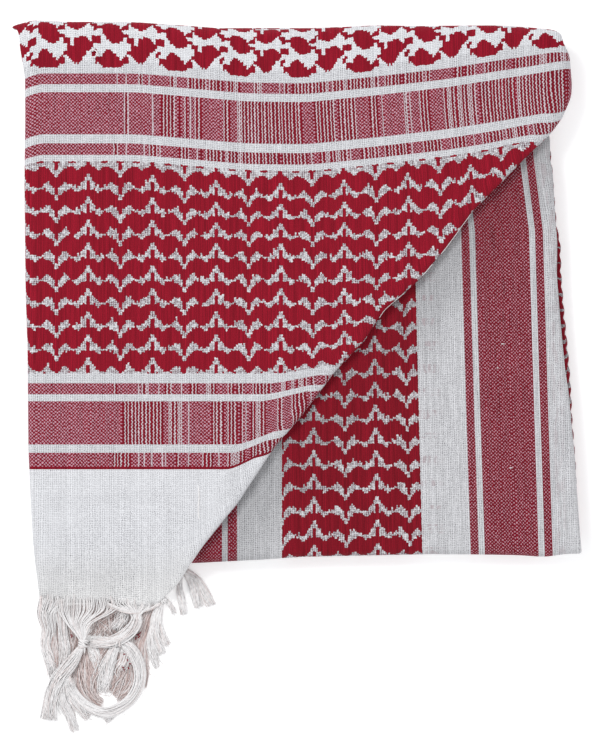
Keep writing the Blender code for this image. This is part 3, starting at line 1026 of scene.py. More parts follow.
@dataclass
class UpperStretch(FoldedStretch):
    """The end border that lies on top, with its slanting, left and top folds."""

    name: str = "upper_cloth"
    node: str = "upper_stretch"
    slot: str = "patterned_cotton"
    top: float = 19.2
    fold_y: float = 172.6
    fold_radius: float = 5.4
    fold_turn_deg: float = 196.0
    fold_rows: int = 14
    fringe_y: float = -112.0
    lowest: float = 0.5
    tail: float = 10.0
    down_in_fold: float = 0.9

    left: Curve = field(default_factory=lambda: Curve(
        ((-113.0, -128.9), (-99.0, -130.2), (-81.0, -131.9), (-67.0, -132.7), (-35.0, -134.2),
         (17.0, -134.7),
         (43.0, -135.6), (100.0, -136.2), (132.0, -135.8), (151.0, -135.9), (166.0, -138.4),
         (172.0, -138.9)), 7.0))
    right: Curve = field(default_factory=lambda: Curve(
        ((-115.5, -77.0), (-111.0, -69.5), (-102.0, -59.5), (-95.5, -55.5), (-83.0, -47.0), (-70.5, -37.0),
         (-61.5, -29.5), (-50.0, -22.0), (-34.0, -11.5), (-19.0, 1.5), (6.0, 20.5), (18.5, 33.0),
         (35.0, 43.5),
         (49.0, 60.0), (65.5, 74.0), (84.0, 87.5), (103.0, 106.5), (113.5, 116.5), (122.0, 126.0),
         (131.0, 132.8), (142.0, 137.3), (148.0, 137.6), (160.5, 136.5), (167.5, 135.0),
         (172.8, 132.8)), 5.0))
    level: Curve = field(default_factory=lambda: Curve(
        ((-114.0, 3.4), (-108.0, 5.4), (-100.0, 11.0), (-94.0, 15.6), (-88.0, 18.4), (-80.0, 19.2),
         (180.0, 19.2)), 6.0))
    end_dip: Curve = field(default_factory=lambda: Curve(
        ((-130.0, 0.6), (-122.0, -0.4), (-108.0, 0.3), (-95.0, 0.0), (-86.0, 1.8), (-77.0, 3.0),
         (-70.0, 1.0)), 4.0))
    top_edge: Curve = field(default_factory=lambda: Curve(
        ((-142.5, -1.0), (-131.5, 2.0), (-113.0, 1.3), (-81.5, 1.0), (-38.5, -2.0), (-24.0, -2.5),
         (1.5, -2.0),
         (39.5, -0.5), (100.0, -0.2), (116.5, -1.2), (129.5, -2.4), (134.0, -6.0)), 8.0))

    def build(self, material: bpy.types.Material) -> bpy.types.Object:
        """Builds the stretch.

        Args:
            material: its finish.

        Returns:
            The piece.
        """
        turn = np.linspace(0.0, math.radians(self.fold_turn_deg), self.fold_rows + 1)[1:]
        flat_rows = np.arange(self.fringe_y, self.fold_y, self.row_step)
        y = np.concatenate([flat_rows, self.fold_y + self.fold_radius * turn])
        angle = np.concatenate([np.zeros_like(flat_rows), turn])
        share = angle / math.pi
        ear = np.interp(share, (0.0, 0.22, 0.42, 0.5, 0.62, 1.0), (0.0, 1.2, 3.4, 3.8, 2.2, -1.0))
        left = self.left(np.minimum(y, self.fold_y)) - ear
        right = self.right(np.minimum(y, self.fold_y)) - np.interp(share, (0.0, 1.0), (0.0, 2.0))
        spots, depth, flat = self.sweep(y, left, right, *self._sides(y, angle))
        depth = np.where(angle[:, None] > 0.0, np.minimum(depth, self.deepest_in_fold), depth)
        x, along = spots[..., 0], spots[..., 1]
        bent, round_y, round_z, relief = self.turned(y, angle, spots, depth, 1.0)
        out_run = np.where(bent, self.fold_y + 5.0 * angle[:, None], along)
        shift = self.top_edge(x) * smooth_step(out_run, 158.0, self.fold_y + 6.0)
        dip = self.end_dip(x) * (1.0 - smooth_step(along, -112.0, -98.0))
        out_y = np.where(bent, round_y, along) + shift - dip
        out_z = np.maximum(np.where(bent, round_z, self.level(along) - depth + relief), self.lowest)
        return self.finish(shell(self.name, np.stack([x, out_y, out_z], axis=-1), self.cloth(flat)), material)

    def _sides(self, y: np.ndarray, angle: np.ndarray) -> tuple[Fold, Fold]:
        """Gives how the left and the right side round off, flatter at the fringe and in the top fold.

        Args:
            y: each row's place along the warp.
            angle: how far round the top fold each row is.

        Returns:
            The left and the right fold.
        """
        near_end = smooth_step(y, -112.0, -84.0)
        near_fold = 1.0 - smooth_step(y, 150.0, 171.0)
        in_fold = 1.0 - near_fold
        roll = smooth_step(y, 112.0, 140.0) * near_fold
        slack = near_end * (0.35 + 0.65 * near_fold)
        left_fold = Fold(1.6 + 4.6 * slack, 0.7 + 1.6 * slack, 180.0 - 70.0 * in_fold, self.tail)
        right_fold = Fold(
            across=1.6 + 3.8 * near_end + 6.0 * roll - 2.0 * in_fold,
            down=0.7 + 1.3 * near_end + 4.4 * roll - 1.0 * in_fold,
            sweep_deg=180.0 - 70.0 * roll - 70.0 * in_fold,
            tail=self.tail,
        )
        for fold in (left_fold, right_fold):
            fold.down[angle > 0.0] = self.down_in_fold
        return left_fold, right_fold

    def relief(self, x: np.ndarray, y: np.ndarray) -> np.ndarray:
        """Gives the soft ups and downs of the top."""
        total = Ripple(0.28, 70.0, 4).at(x, y) + Ripple(0.10, 24.0, 9).at(x, y)
        return total + sum(crease.at(x, y) for crease in UPPER_CREASES)

    def cloth(self, flat: np.ndarray) -> np.ndarray:
        """Gives the cloth coordinates of flat places: across, and along from the fringe."""
        x, y = flat[..., 0], flat[..., 1]
        gap = self.right(np.clip(y, -112.0, 172.0)) - x
        low_sweep = np.interp(y, (-90.0, -44.0, -25.0, 5.0, 30.0, 60.0), (3.0, 8.5, 9.0, 4.6, 3.0, 2.0))
        reach = np.interp(y, (-60.0, -44.0, -25.0, 0.0), (16.0, 17.0, 24.0, 30.0))
        rise = low_sweep * (1.0 - smooth_step(gap, -2.0, reach))
        high = HIGH_BAND_SAG(x) * smooth_step(y, 60.0, 100.0)
        curl = -3.2 * (1.0 - smooth_step(x, -138.0, -127.0)) * smooth_step(y, 80.0, 120.0)
        lean = HIGH_WARP_LEAN(x) * smooth_step(y, 86.0, 152.0)
        return np.stack([x + lean, y + FRINGE_LINE - rise - high - curl], axis=-1)


HIGH_BAND_SAG = Curve(
    ((-136.0, 0.0), (-80.0, 0.0), (-50.0, -2.5), (-25.0, -4.6), (5.0, -5.0), (40.0, -1.5), (75.0, 2.5),
     (110.0, 8.0), (135.0, 10.0)), 16.0)

HIGH_WARP_LEAN = Curve(
    ((-136.0, 0.0), (-33.0, 0.4), (0.0, 2.4), (31.0, 3.0), (63.0, 4.2), (95.0, 5.1), (127.0, 6.4)), 16.0)

UPPER_CREASES = (
    Crease(-128.0, -66.0, -62.0, -61.0, 3.4, -0.55),
    Crease(-128.0, -58.0, -70.0, -54.0, 3.0, 0.50),
    Crease(-66.0, -48.0, -34.0, -40.0, 2.6, 0.35),
    Crease(-104.0, -100.0, -84.0, -72.0, 5.0, 0.4),
    Crease(-20.0, 10.0, 70.0, 92.0, 9.0, 0.35),
    Crease(20.0, 160.0, 96.0, 150.0, 8.0, 0.45),
    Crease(60.0, 128.0, 112.0, 140.0, 7.0, -0.45),
    Crease(-126.0, 118.0, -60.0, 126.0, 7.0, -0.3),
)


@dataclass
class LowerStretch(FoldedStretch):
    """The side border that shows to the right of the slanting fold."""

    name: str = "lower_cloth"
    node: str = "lower_stretch"
    slot: str = "side_border_cotton"
    columns: int = 130
    top: float = 14.1
    fold_y: float = -83.2
    fold_radius: float = 4.3
    fold_turn_deg: float = 186.0
    end_y: float = 167.0
    under_upper: float = 46.0
    leftmost: float = -128.0

    right: Curve = field(default_factory=lambda: Curve(
        ((-87.0, 142.5), (-75.0, 141.5), (-53.5, 140.0), (-37.0, 139.0), (-21.0, 137.3), (-6.5, 136.0),
         (7.0, 134.0), (31.5, 131.7), (53.5, 130.0), (69.5, 130.3), (81.5, 129.3), (104.0, 128.0),
         (111.5, 126.5), (121.0, 126.8), (140.0, 120.0), (168.0, 118.0)), 7.0))
    bottom_edge: Curve = field(default_factory=lambda: Curve(
        ((-100.0, -4.0), (-52.0, -4.4), (-30.0, -3.2), (1.5, -1.4), (30.0, -0.6), (68.5, 0.3),
         (111.5, -0.4),
         (124.0, -1.2), (135.5, 0.4), (142.5, 0.2)), 10.0))

    def build(self, material: bpy.types.Material) -> bpy.types.Object:
        """Builds the stretch.

        Args:
            material: its finish.

        Returns:
            The piece.
        """
        turn = np.linspace(math.radians(self.fold_turn_deg), 0.0, self.fold_rows + 1)[:-1]
        flat_rows = np.arange(self.fold_y, self.end_y, self.row_step)
        y = np.concatenate([self.fold_y - self.fold_radius * turn, flat_rows])
        angle = np.concatenate([turn, np.zeros_like(flat_rows)])
        left = np.maximum(UpperStretch().right(y) - self.under_upper, self.leftmost)
        right = self.right(np.maximum(y, -87.0))
        flat_part = smooth_step(y, -84.0, -62.0)
        left_fold = Fold(np.full_like(y, 0.5), np.full_like(y, 0.2), np.full_like(y, 60.0), 1.0)
        right_fold = Fold(2.2 + 3.6 * flat_part, 0.9 + 1.4 * flat_part, 180.0 - 60.0 * (1.0 - flat_part), 8.0)
        spots, depth, flat = self.sweep(y, left, right, left_fold, right_fold)
        depth = np.where(angle[:, None] > 0.0, np.minimum(depth, self.deepest_in_fold), depth)
        bent, round_y, round_z, relief = self.turned(y, angle, spots, depth, -1.0)
        x, along = spots[..., 0], spots[..., 1]
        shift = self.bottom_edge(x) * (1.0 - smooth_step(along, self.fold_y, -55.0))
        out_y = np.where(bent, round_y, along) + shift
        out_z = np.where(bent, round_z, self.top - depth + relief)
        return self.finish(shell(self.name, np.stack([x, out_y, out_z], axis=-1), self.cloth(flat)), material)

    def relief(self, x: np.ndarray, y: np.ndarray) -> np.ndarray:
        """Gives the soft ups and downs of the top."""
        return Ripple(0.22, 60.0, 21).at(x, y) + Ripple(0.08, 22.0, 22).at(x, y) - 0.15

    def cloth(self, flat: np.ndarray) -> np.ndarray:
        """Gives the cloth coordinates of flat places, with the border's lean taken out."""
        x, y = flat[..., 0], flat[..., 1]
        lean = np.interp(y, (-88.0, -20.0, 75.0, 110.0, 170.0), (0.0, 2.2, 5.0, 9.5, 14.0))
        return np.stack([x + lean * smooth_step(x, -20.0, 90.0), y], axis=-1)


@dataclass(frozen=True)
class Lobe:
    """One fold's rounded edge in a stack: its share of the height, and how far it stands out."""

    share: float
    out: float


@dataclass
class FoldedStack(Stretch):
    """Stretches folded together, as one closed form whose sides show each fold's rounded edge."""

    low: float = 0.0
    high: float = 3.0
    y_from: float = -87.0
    y_to: float = 178.0
    left_curve: Curve = field(default_factory=lambda: Curve(((-90.0, -130.0), (180.0, -134.0)), 8.0))
    right_curve: Curve = field(default_factory=lambda: Curve(((-90.0, 138.0), (180.0, 120.0)), 8.0))
    lobes: tuple[Lobe, ...] = (Lobe(0.5, 1.4), Lobe(0.5, 1.8))
    wander: float = 0.7
    seed: int = 60
    row_step: float = 2.6
    end_rows: int = 9
    across_columns: int = 56
    lobe_points: int = 9
    least_out: float = 0.4
    least_squash: float = 0.04
    lowest: float = 0.02
    cloth_shift: Pair = (0.0, 0.0)
    cloth_stretch: float = 1.0
    scallop: float = 0.0
    scallop_pitch: float = 7.8

    def build(self, material: bpy.types.Material) -> bpy.types.Object:
        """Builds the stack.

        Args:
            material: its finish.

        Returns:
            The piece.
        """
        half = 0.5 * (self.high - self.low)
        middle_z = 0.5 * (self.high + self.low)
        turn = np.linspace(0.0, 0.5 * math.pi, self.end_rows)
        inset = half * (1.0 - np.sin(turn))
        middle = np.arange(self.y_from + half + self.row_step, self.y_to - half, self.row_step)
        y = np.concatenate([(self.y_from + inset)[::-1], middle, self.y_to - inset])
        round_off = np.sin(np.arccos(np.clip((half - inset) / half, 0.0, 1.0)))
        squash = np.concatenate([round_off[::-1], np.ones_like(middle), round_off])
        rings, cloths = [], []
        for place, flat in zip(y, np.maximum(squash, self.least_squash)):
            ring = self._ring(place)
            ring[:, 1] = middle_z + (ring[:, 1] - middle_z) * flat
            run = np.concatenate([[0.0], np.cumsum(np.hypot(*np.diff(ring, axis=0).T))])
            along = place * self.cloth_stretch + self.cloth_shift[1]
            rings.append(np.column_stack([ring[:, 0], np.full(len(ring), place), ring[:, 1]]))
            across = run + self.cloth_shift[0] + ring[0, 0]
            cloths.append(np.column_stack([across, np.full(len(ring), along)]))
        places, cloth = np.stack(rings), np.stack(cloths)
        places[..., 2] = np.maximum(places[..., 2], self.lowest)
        corners = grid_corners(*places.shape[:2])
        return self.finish(cloth_mesh(self.name, places, corners, cloth), material)

    def _ring(self, place: float) -> np.ndarray:
        """Gives one section's places across and up, from the top left round to the bottom left."""
        left, right = float(self.left_curve(place)), float(self.right_curve(place))
        right += self.scallop * abs(math.sin(math.pi * place / self.scallop_pitch))
        across = np.linspace(left, right, self.across_columns)
        top = np.column_stack([across, np.full(self.across_columns, self.high)])
        bottom = np.column_stack([across[::-1], np.full(self.across_columns, self.low)])
        right_side = self._side(place, right, 1.0, 0)
        left_side = self._side(place, left, -1.0, 5)[::-1]
        return np.vstack([top, right_side[1:-1], bottom, left_side[1:-1], top[:1]])

    def _side(self, place: float, edge: float, outward: float, luck: int) -> np.ndarray:
        """Gives one side's rounded folds, from the top down.

        Args:
            place: the section's place along the warp.
            edge: the side's place across.
            outward: 1 for the right side, -1 for the left.
            luck: which waves the side takes.

        Returns:
            The side's places across and up.
        """
        z = self.high
        angle = np.linspace(0.0, math.pi, self.lobe_points)
        spots = []
        for number, lobe in enumerate(self.lobes):
            tall = lobe.share * (self.high - self.low)
            wave = Ripple(self.wander, 70.0, self.seed + luck + number * 3)
            out = max(lobe.out + float(wave.at(np.array([place]), np.array([0.0]))[0]), self.least_out)
            spots.append(np.column_stack([edge + outward * out * np.sin(angle) ** 0.8,
                                          z - 0.5 * tall * (1.0 - np.cos(angle))]))
            z -= tall
        return np.vstack(spots)


def moved(points: Sequence[Pair], by: float, soft: float = 10.0) -> Curve:
    """Gives an outline moved sideways."""
    return Curve([(place, value + by) for place, value in points], soft)


def hidden_stacks() -> list[FoldedStack]:
    """Gives the four folded stretches that lie hidden, from the lowest up."""
    left = ((-89.0, -129.0), (-53.5, -131.0), (-7.0, -132.8), (31.5, -133.6), (69.5, -134.6), (178.6, -135.6))
    right = ((-89.0, 142.0), (-53.5, 139.6), (-7.0, 135.6), (31.5, 131.4), (69.5, 130.0), (121.0, 126.4),
             (178.6, 121.6))
    # Lowest, highest, start and end along the warp, seed, how far in each side is, cloth shift, lobes.
    rows = (
        (0.02, 2.5, -85.0, 175.5, 61, 3.6, -5.2, (0.0, 150.0), (Lobe(0.5, 1.6), Lobe(0.5, 1.3))),
        (2.55, 4.9, -86.0, 176.6, 71, 3.2, -5.0, (30.0, 190.0), (Lobe(0.45, 1.2), Lobe(0.55, 1.6))),
        (4.95, 8.4, -84.0, 175.0, 81, 4.2, -19.4, (10.0, 120.0), (Lobe(0.4, 1.4), Lobe(0.6, 1.8))),
        (8.45, 12.0, -81.6, 168.6, 91, 5.2, -19.4, (55.0, 140.0), (Lobe(0.55, 1.5), Lobe(0.45, 1.2))),
    )
    return [
        FoldedStack(name=f"hidden_fold_{number}", node="hidden_layers", slot="white_cotton", low=low,
                    high=high, y_from=y_from, y_to=y_to, seed=seed, left_curve=moved(left, left_in),
                    right_curve=moved(right, right_in), cloth_shift=shift, lobes=lobes)
        for number, (low, high, y_from, y_to, seed, left_in, right_in, shift, lobes)
        in enumerate(rows, start=1)
    ]


def inner_fold() -> FoldedStack:
    """Gives the deeper stretch whose patterned edge peeks out at the right."""
    edge = ((-80.0, 139.0), (-45.0, 137.6), (-20.0, 135.8), (-8.0, 135.4), (7.0, 134.2), (31.5, 131.8),
            (53.5, 130.2), (69.5, 129.9), (76.0, 128.2), (104.0, 126.0), (164.0, 118.6))
    return FoldedStack(
        name="inner_cloth", node="inner_fold", slot="side_border_cotton", low=5.5, high=9.8, y_from=-79.0,
        y_to=162.0, seed=101, across_columns=10, row_step=0.9, wander=0.15, scallop=0.8, cloth_stretch=1.472,
        left_curve=moved(edge, -13.6, 8.0), right_curve=moved(edge, 0.0, 8.0),
        lobes=(Lobe(0.5, 1.4), Lobe(0.5, 1.6)), cloth_shift=(-98.0, 20.0))


@dataclass
class TurnedCorner(Stretch):
    """The corner that is turned under along the slanting fold."""

    name: str = "turned_cloth"
    node: str = "turned_corner"
    slot: str = "patterned_cotton"
    columns: int = 70
    level: float = 15.75
    lowest: float = 15.5
    highest: float = 15.95
    row_step: float = 2.2
    lean_deg: float = 98.8
    cloth_start: float = 120.0

    left: Curve = field(default_factory=lambda: Curve(
        ((-82.0, -80.0), (-70.0, -82.0), (-19.0, -91.0), (35.0, -99.5), (93.5, -107.0), (104.0, -58.0),
         (118.0, 32.0)), 5.0))

    def build(self, material: bpy.types.Material) -> bpy.types.Object:
        """Builds the corner.

        Args:
            material: its finish.

        Returns:
            The piece.
        """
        y = np.arange(-80.0, 116.5, self.row_step)
        right = UpperStretch().right(y) - np.interp(y, (-82.0, 93.5, 118.0), (5.0, 5.5, 9.0))
        left = self.left(y)
        x = left[:, None] + (right - left)[:, None] * np.linspace(0.0, 1.0, self.columns)[None, :]
        along = np.broadcast_to(y[:, None], x.shape)
        z = np.clip(self.level + Ripple(0.12, 50.0, 33).at(x, along), self.lowest, self.highest)
        lean = math.radians(self.lean_deg)
        cloth = np.stack([x * math.cos(lean) + along * math.sin(lean),
                          x * math.sin(lean) - along * math.cos(lean) + self.cloth_start], axis=-1)
        return self.finish(shell(self.name, np.stack([x, along, z], axis=-1), cloth), material)


# ---------------------------------------------------------------- the fringe


def soft_path(points: np.ndarray, count: int) -> np.ndarray:
    """Runs a soft line through points.

    Args:
        points: the points, by three.
        count: how many places to give.

    Returns:
        Places along the line, evenly spread between the points.
    """
    ends = np.vstack([2.0 * points[0] - points[1], points, 2.0 * points[-1] - points[-2]])
    place = np.linspace(0.0, len(points) - 1.0, count)
    first = np.minimum(place.astype(int), len(points) - 2)
    share = (place - first)[:, None]
    p0, p1, p2, p3 = (ends[first + k] for k in range(4))
    return 0.5 * (2.0 * p1 + (p2 - p0) * share + (2.0 * p0 - 5.0 * p1 + 4.0 * p2 - p3) * share ** 2
                  + (3.0 * p1 - p0 - 3.0 * p2 + p3) * share ** 3)


class YarnMesh:
    """Many yarns, gathered into one mesh."""

    def __init__(self, sides: int = 4) -> None:
        """Starts an empty mesh of yarns with so many sides each."""
        self.sides = sides
        self.places: list[np.ndarray] = []
        self.cloth: list[np.ndarray] = []
        self.faces: list[np.ndarray] = []
        self.count = 0

    def add(self, path: np.ndarray, radius: float | np.ndarray, number: float) -> None:
        """Adds one yarn.

        Args:
            path: its middle line, in millimetres.
            radius: its radius, or one for each place. It thins towards both ends.
            number: its number, which picks its shade.
        """
        steps = len(path)
        ahead = np.gradient(path, axis=0)
        ahead /= np.maximum(np.linalg.norm(ahead, axis=1, keepdims=True), 1e-9)
        aside = np.cross(ahead, (0.0, 0.0, 1.0))
        aside /= np.maximum(np.linalg.norm(aside, axis=1, keepdims=True), 1e-6)
        up = np.cross(aside, ahead)
        share = np.linspace(0.0, 1.0, steps)
        width = radius * np.clip(np.minimum(share * 30.0 + 0.5, (1.0 - share) * 12.0 + 0.25), 0.25, 1.0)
        angle = np.arange(self.sides) * math.tau / self.sides
        cosine, sine = np.cos(angle)[None, :, None], np.sin(angle)[None, :, None]
        ring = cosine * aside[:, None, :] + sine * up[:, None, :]
        places = path[:, None, :] + ring * width[:, None, None]
        places[..., 2] = np.maximum(places[..., 2], 0.05)
        run = np.concatenate([[0.0], np.cumsum(np.linalg.norm(np.diff(path, axis=0), axis=1))])
        cloth = np.stack([np.broadcast_to(angle / math.tau + number * 2.0, (steps, self.sides)),
                          np.broadcast_to(run[:, None], (steps, self.sides))], axis=-1)
        index = np.arange(steps * self.sides).reshape(steps, self.sides) + self.count
        after = np.roll(index, -1, axis=1)
        self.faces.append(np.stack([index[:-1], after[:-1], after[1:], index[1:]], axis=-1).reshape(-1, 4))
        self.places.append(places.reshape(-1, 3))
        self.cloth.append(cloth.reshape(-1, 2))
        self.count += steps * self.sides

    def build(self, name: str) -> bpy.types.Object:
        """Makes the piece."""
        return cloth_mesh(name, np.vstack(self.places), np.vstack(self.faces), np.vstack(self.cloth))


Spot = tuple[float, float, float]
PART_NUMBERS = 80
# Numbers from here on mark the under bundles, which take the yarn's painted shade colour.
UNDER_FROM = 4000.0
RED_FROM = 8000.0


@dataclass(frozen=True)
class Bundle:
    """A bundle of yarns along a line: how wide it is at each point, and how many yarns it holds."""

    points: tuple[Spot, ...]
    widths: tuple[float, ...]
    yarns: int
    radius: float = 0.24
    flat: float = 0.5
    ragged: float = 0.10
    stray: float = 0.7
    # An under bundle is coloured with the yarn's painted shade.
    under: bool = False

    def lay(self, mesh: YarnMesh, draw: np.random.Generator, number: float) -> None:
        """Lays the bundle's yarns into a mesh."""
        points = np.array(self.points, float)
        reach = float(np.linalg.norm(np.diff(points, axis=0), axis=1).sum())
        count = int(np.clip(reach / 2.2 + 6.0, 12, 48))
        number += UNDER_FROM if self.under else 0.0
        line = soft_path(points, count)
        share = np.linspace(0.0, 1.0, count)
        width = np.interp(share, np.linspace(0.0, 1.0, len(self.widths)), self.widths)
        ahead = np.gradient(line[:, :2], axis=0)
        ahead /= np.maximum(np.linalg.norm(ahead, axis=1, keepdims=True), 1e-9)
        aside = np.stack([-ahead[:, 1], ahead[:, 0]], axis=-1)
        self._core(mesh, line, aside, width, number)
        for yarn in range(self.yarns * 2):
            turn = draw.uniform(0.0, math.tau)
            far = math.sqrt(draw.uniform(0.0, 1.0))
            spin = draw.uniform(-1.1, 1.1)
            out = far * np.cos(turn + spin * share * math.pi)
            lift = far * np.sin(turn + spin * share * math.pi)
            pace, start = draw.uniform(3.0, 9.0), draw.uniform(0.0, math.tau)
            wobble = np.sin(share * pace + start) * self.stray * share
            path = line.copy()
            splay = 1.0 + 0.45 * np.clip(share * 4.0 - 3.0, 0.0, 1.0) ** 2
            path[:, :2] += aside * (out * width * 0.5 * splay + wobble)[:, None]
            path[:, 2] += lift * width * 0.5 * self.flat + np.cos(share * pace * 1.3 + start) * 0.2
            path[:, 2] = np.maximum(path[:, 2], self.radius * 0.8)
            last = max(int(count * (1.0 - abs(draw.normal(0.0, self.ragged)))), count // 2)
            mesh.add(path[:last], self.radius * draw.uniform(0.8, 1.15), number + yarn)
            if yarn % 5 == 0:
                near_end = max(int(last * draw.uniform(0.55, 0.9)), 2)
                self._flyaway(mesh, draw, path[near_end], ahead[near_end], number + yarn)

    def _core(self, mesh: YarnMesh, line: np.ndarray, aside: np.ndarray, width: np.ndarray,
              number: float) -> None:
        """Lays the bundle's packed middle, so that no gap shows between its yarns."""
        last = int(len(line) * (0.97 - self.ragged))
        for side in (-0.22, 0.0, 0.22):
            path = line.copy()
            path[:, :2] += aside * (side * width)[:, None]
            path[:, 2] = np.maximum(path[:, 2] - 0.2, width * 0.5 * self.flat * 0.7)
            mesh.add(path[:last], (width * 0.5 * self.flat * 0.7)[:last], number)

    @staticmethod
    def _flyaway(mesh: YarnMesh, draw: np.random.Generator, start: np.ndarray, ahead: np.ndarray,
                 number: float) -> None:
        """Lays one thin fibre that strays from the bundle."""
        angle = math.atan2(ahead[1], ahead[0]) + draw.choice((-1.0, 1.0)) * draw.uniform(0.15, 0.7)
        bend = draw.uniform(-0.9, 0.9)
        length = draw.uniform(3.0, 8.0)
        steps = np.linspace(0.0, 1.0, 10)
        turn = angle + bend * steps
        path = np.column_stack([start[0] + np.cumsum(np.cos(turn)) * length / 10.0,
                                start[1] + np.cumsum(np.sin(turn)) * length / 10.0,
                                np.maximum(start[2] * (1.0 - 0.6 * steps), 0.15)])
        mesh.add(path, 0.085, number)


@dataclass(frozen=True)
class Fan:
    """Warp ends that leave the cloth side by side and gather at a knot."""

    left: Spot
    right: Spot
    gather: Spot
    width: float
    yarns: int
    bow: float
    radius: float = 0.30

    def lay(self, mesh: YarnMesh, draw: np.random.Generator, number: float) -> None:
        """Lays the fan's yarns into a mesh."""
        left, right, gather = (np.array(spot) for spot in (self.left, self.right, self.gather))
        level = UpperStretch().level
        for yarn in range(self.yarns):
            share = (yarn + 0.5) / self.yarns
            uneven = np.array([draw.normal(0.0, 0.15), draw.uniform(-0.6, 2.4), 0.0])
            start = left + (right - left) * share + uneven
            start[2] = float(level(start[1])) + 0.25
            side = (share - 0.5) * 2.0
            lift = draw.uniform(-0.5, 0.5) * self.width * 0.4
            end = gather + np.array([side * self.width * 0.5, 0.0, lift])
            near = start + np.array([side * 0.2, (end[1] - start[1]) * 0.30, -0.3])
            tip = end + np.array([draw.normal(0.0, 0.5), -draw.uniform(1.5, 7.0), -0.6])
            middle = start + (end - start) * 0.62 + np.array([self.bow, 0.0, 0.5 + draw.normal(0.0, 0.25)])
            path = soft_path(np.array([start, near, middle, end, tip]), 24)
            mesh.add(path, self.radius * draw.uniform(0.85, 1.15), number + yarn)


@dataclass(frozen=True)
class Knot:
    """A few turns of yarn wound round a bundle."""

    centre: Spot
    radius: float
    lean_deg: float
    turns: int

    def lay(self, mesh: YarnMesh, draw: np.random.Generator, number: float) -> None:
        """Lays the knot's turns into a mesh."""
        lean = math.radians(self.lean_deg)
        along = np.array([math.cos(lean), math.sin(lean), 0.0])
        aside = np.array([-math.sin(lean), math.cos(lean), 0.0])
        for turn in range(self.turns):
            angle = np.linspace(0.0, math.tau * 1.05, 30) + draw.uniform(0.0, math.tau)
            tilt = draw.uniform(-0.5, 0.5)
            place = (turn / max(self.turns - 1, 1) - 0.5) * self.radius * 1.5
            swell = self.radius * (1.0 - 0.25 * abs(place) / self.radius) * draw.uniform(0.92, 1.05)
            path = (np.array(self.centre) + along * place + aside * (np.cos(angle) * swell)[:, None]
                    + along * (np.cos(angle) * tilt * swell)[:, None]
                    + np.array([0.0, 0.0, 1.0]) * (np.sin(angle) * swell * 0.75)[:, None])
            mesh.add(path, 0.42, number + turn)


@dataclass(frozen=True)
class RedSpecks:
    """Short red ends that are caught among the white yarns."""

    centres: tuple[Spot, ...]
    length: float = 1.3

    def lay(self, mesh: YarnMesh, draw: np.random.Generator, number: float) -> None:
        """Lays the red ends into a mesh."""
        for count, centre in enumerate(self.centres):
            angle = draw.uniform(0.0, math.pi)
            reach = np.array([math.cos(angle), math.sin(angle), 0.0]) * self.length * 0.5
            path = np.linspace(np.array(centre) - reach, np.array(centre) + reach, 6)
            mesh.add(path, 0.32, RED_FROM + number + count)


@dataclass(frozen=True)
class YarnFinish:
    """The finish of loose warp ends, with a painted shade on the under bundles and painted shading along the
    twist.
    """

    white: Colour = (0.86, 0.845, 0.845)
    dull: Colour = (0.79, 0.735, 0.725)
    blush: Colour = (0.79, 0.69, 0.67)
    # Painted shade, with a pink tint of reflected red, for the bundles that lie under others.
    under: Colour = (0.60, 0.475, 0.45)
    red: Colour = (0.21, 0.009, 0.02)

    def dress(self, name: str) -> bpy.types.Material:
        """Makes the yarn's material."""
        loom = Loom(name)
        number, run = loom.cloth_place()
        yarn = (number / 2.0 + 0.25).op("FLOOR")
        luck = loom.chance(yarn, 1.5)
        twist = (run * 2.6 + number * math.tau).op("SINE") * 0.5 + 0.5
        base = loom.mixed(luck.ramp(0.75, 1.0), self.white, self.dull)
        base = loom.mixed(loom.chance(yarn, 9.5).ramp(0.85, 1.0) * 0.6, base, self.blush)
        # Painted shade on the under bundles, stronger on some yarns than others.
        base = loom.mixed(yarn.above(UNDER_FROM - 1.0) * (luck.ramp(0.1, 0.8) * 0.8 + 0.2), base, self.under)
        base = loom.mixed(yarn.above(RED_FROM - 1.0), base, self.red)
        # The twist term is painted shading along each yarn's plies, next to the twist's bump; luck varies the
        # tone at random.
        base = loom.shaded(base, twist * 0.07 + luck * 0.06 + 0.90)
        loom.dress(base, roughness=0.9, sheen=0.15, specular=0.2)
        loom.bumped(twist, 0.04)
        return loom.material


@dataclass
class Fringe:
    """One group of tassels."""

    name: str
    node: str
    seed: int
    parts: tuple[Bundle | Fan | Knot | RedSpecks, ...]

    def build(self, material: bpy.types.Material) -> bpy.types.Object:
        """Builds the group.

        Args:
            material: the yarn's finish.

        Returns:
            The piece.
        """
        mesh = YarnMesh()
        draw = np.random.default_rng(self.seed)
        for order, part in enumerate(self.parts):
            part.lay(mesh, draw, float(order * PART_NUMBERS))
        piece = tied(mesh.build(self.name), material)
        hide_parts(self.node)
        return piece


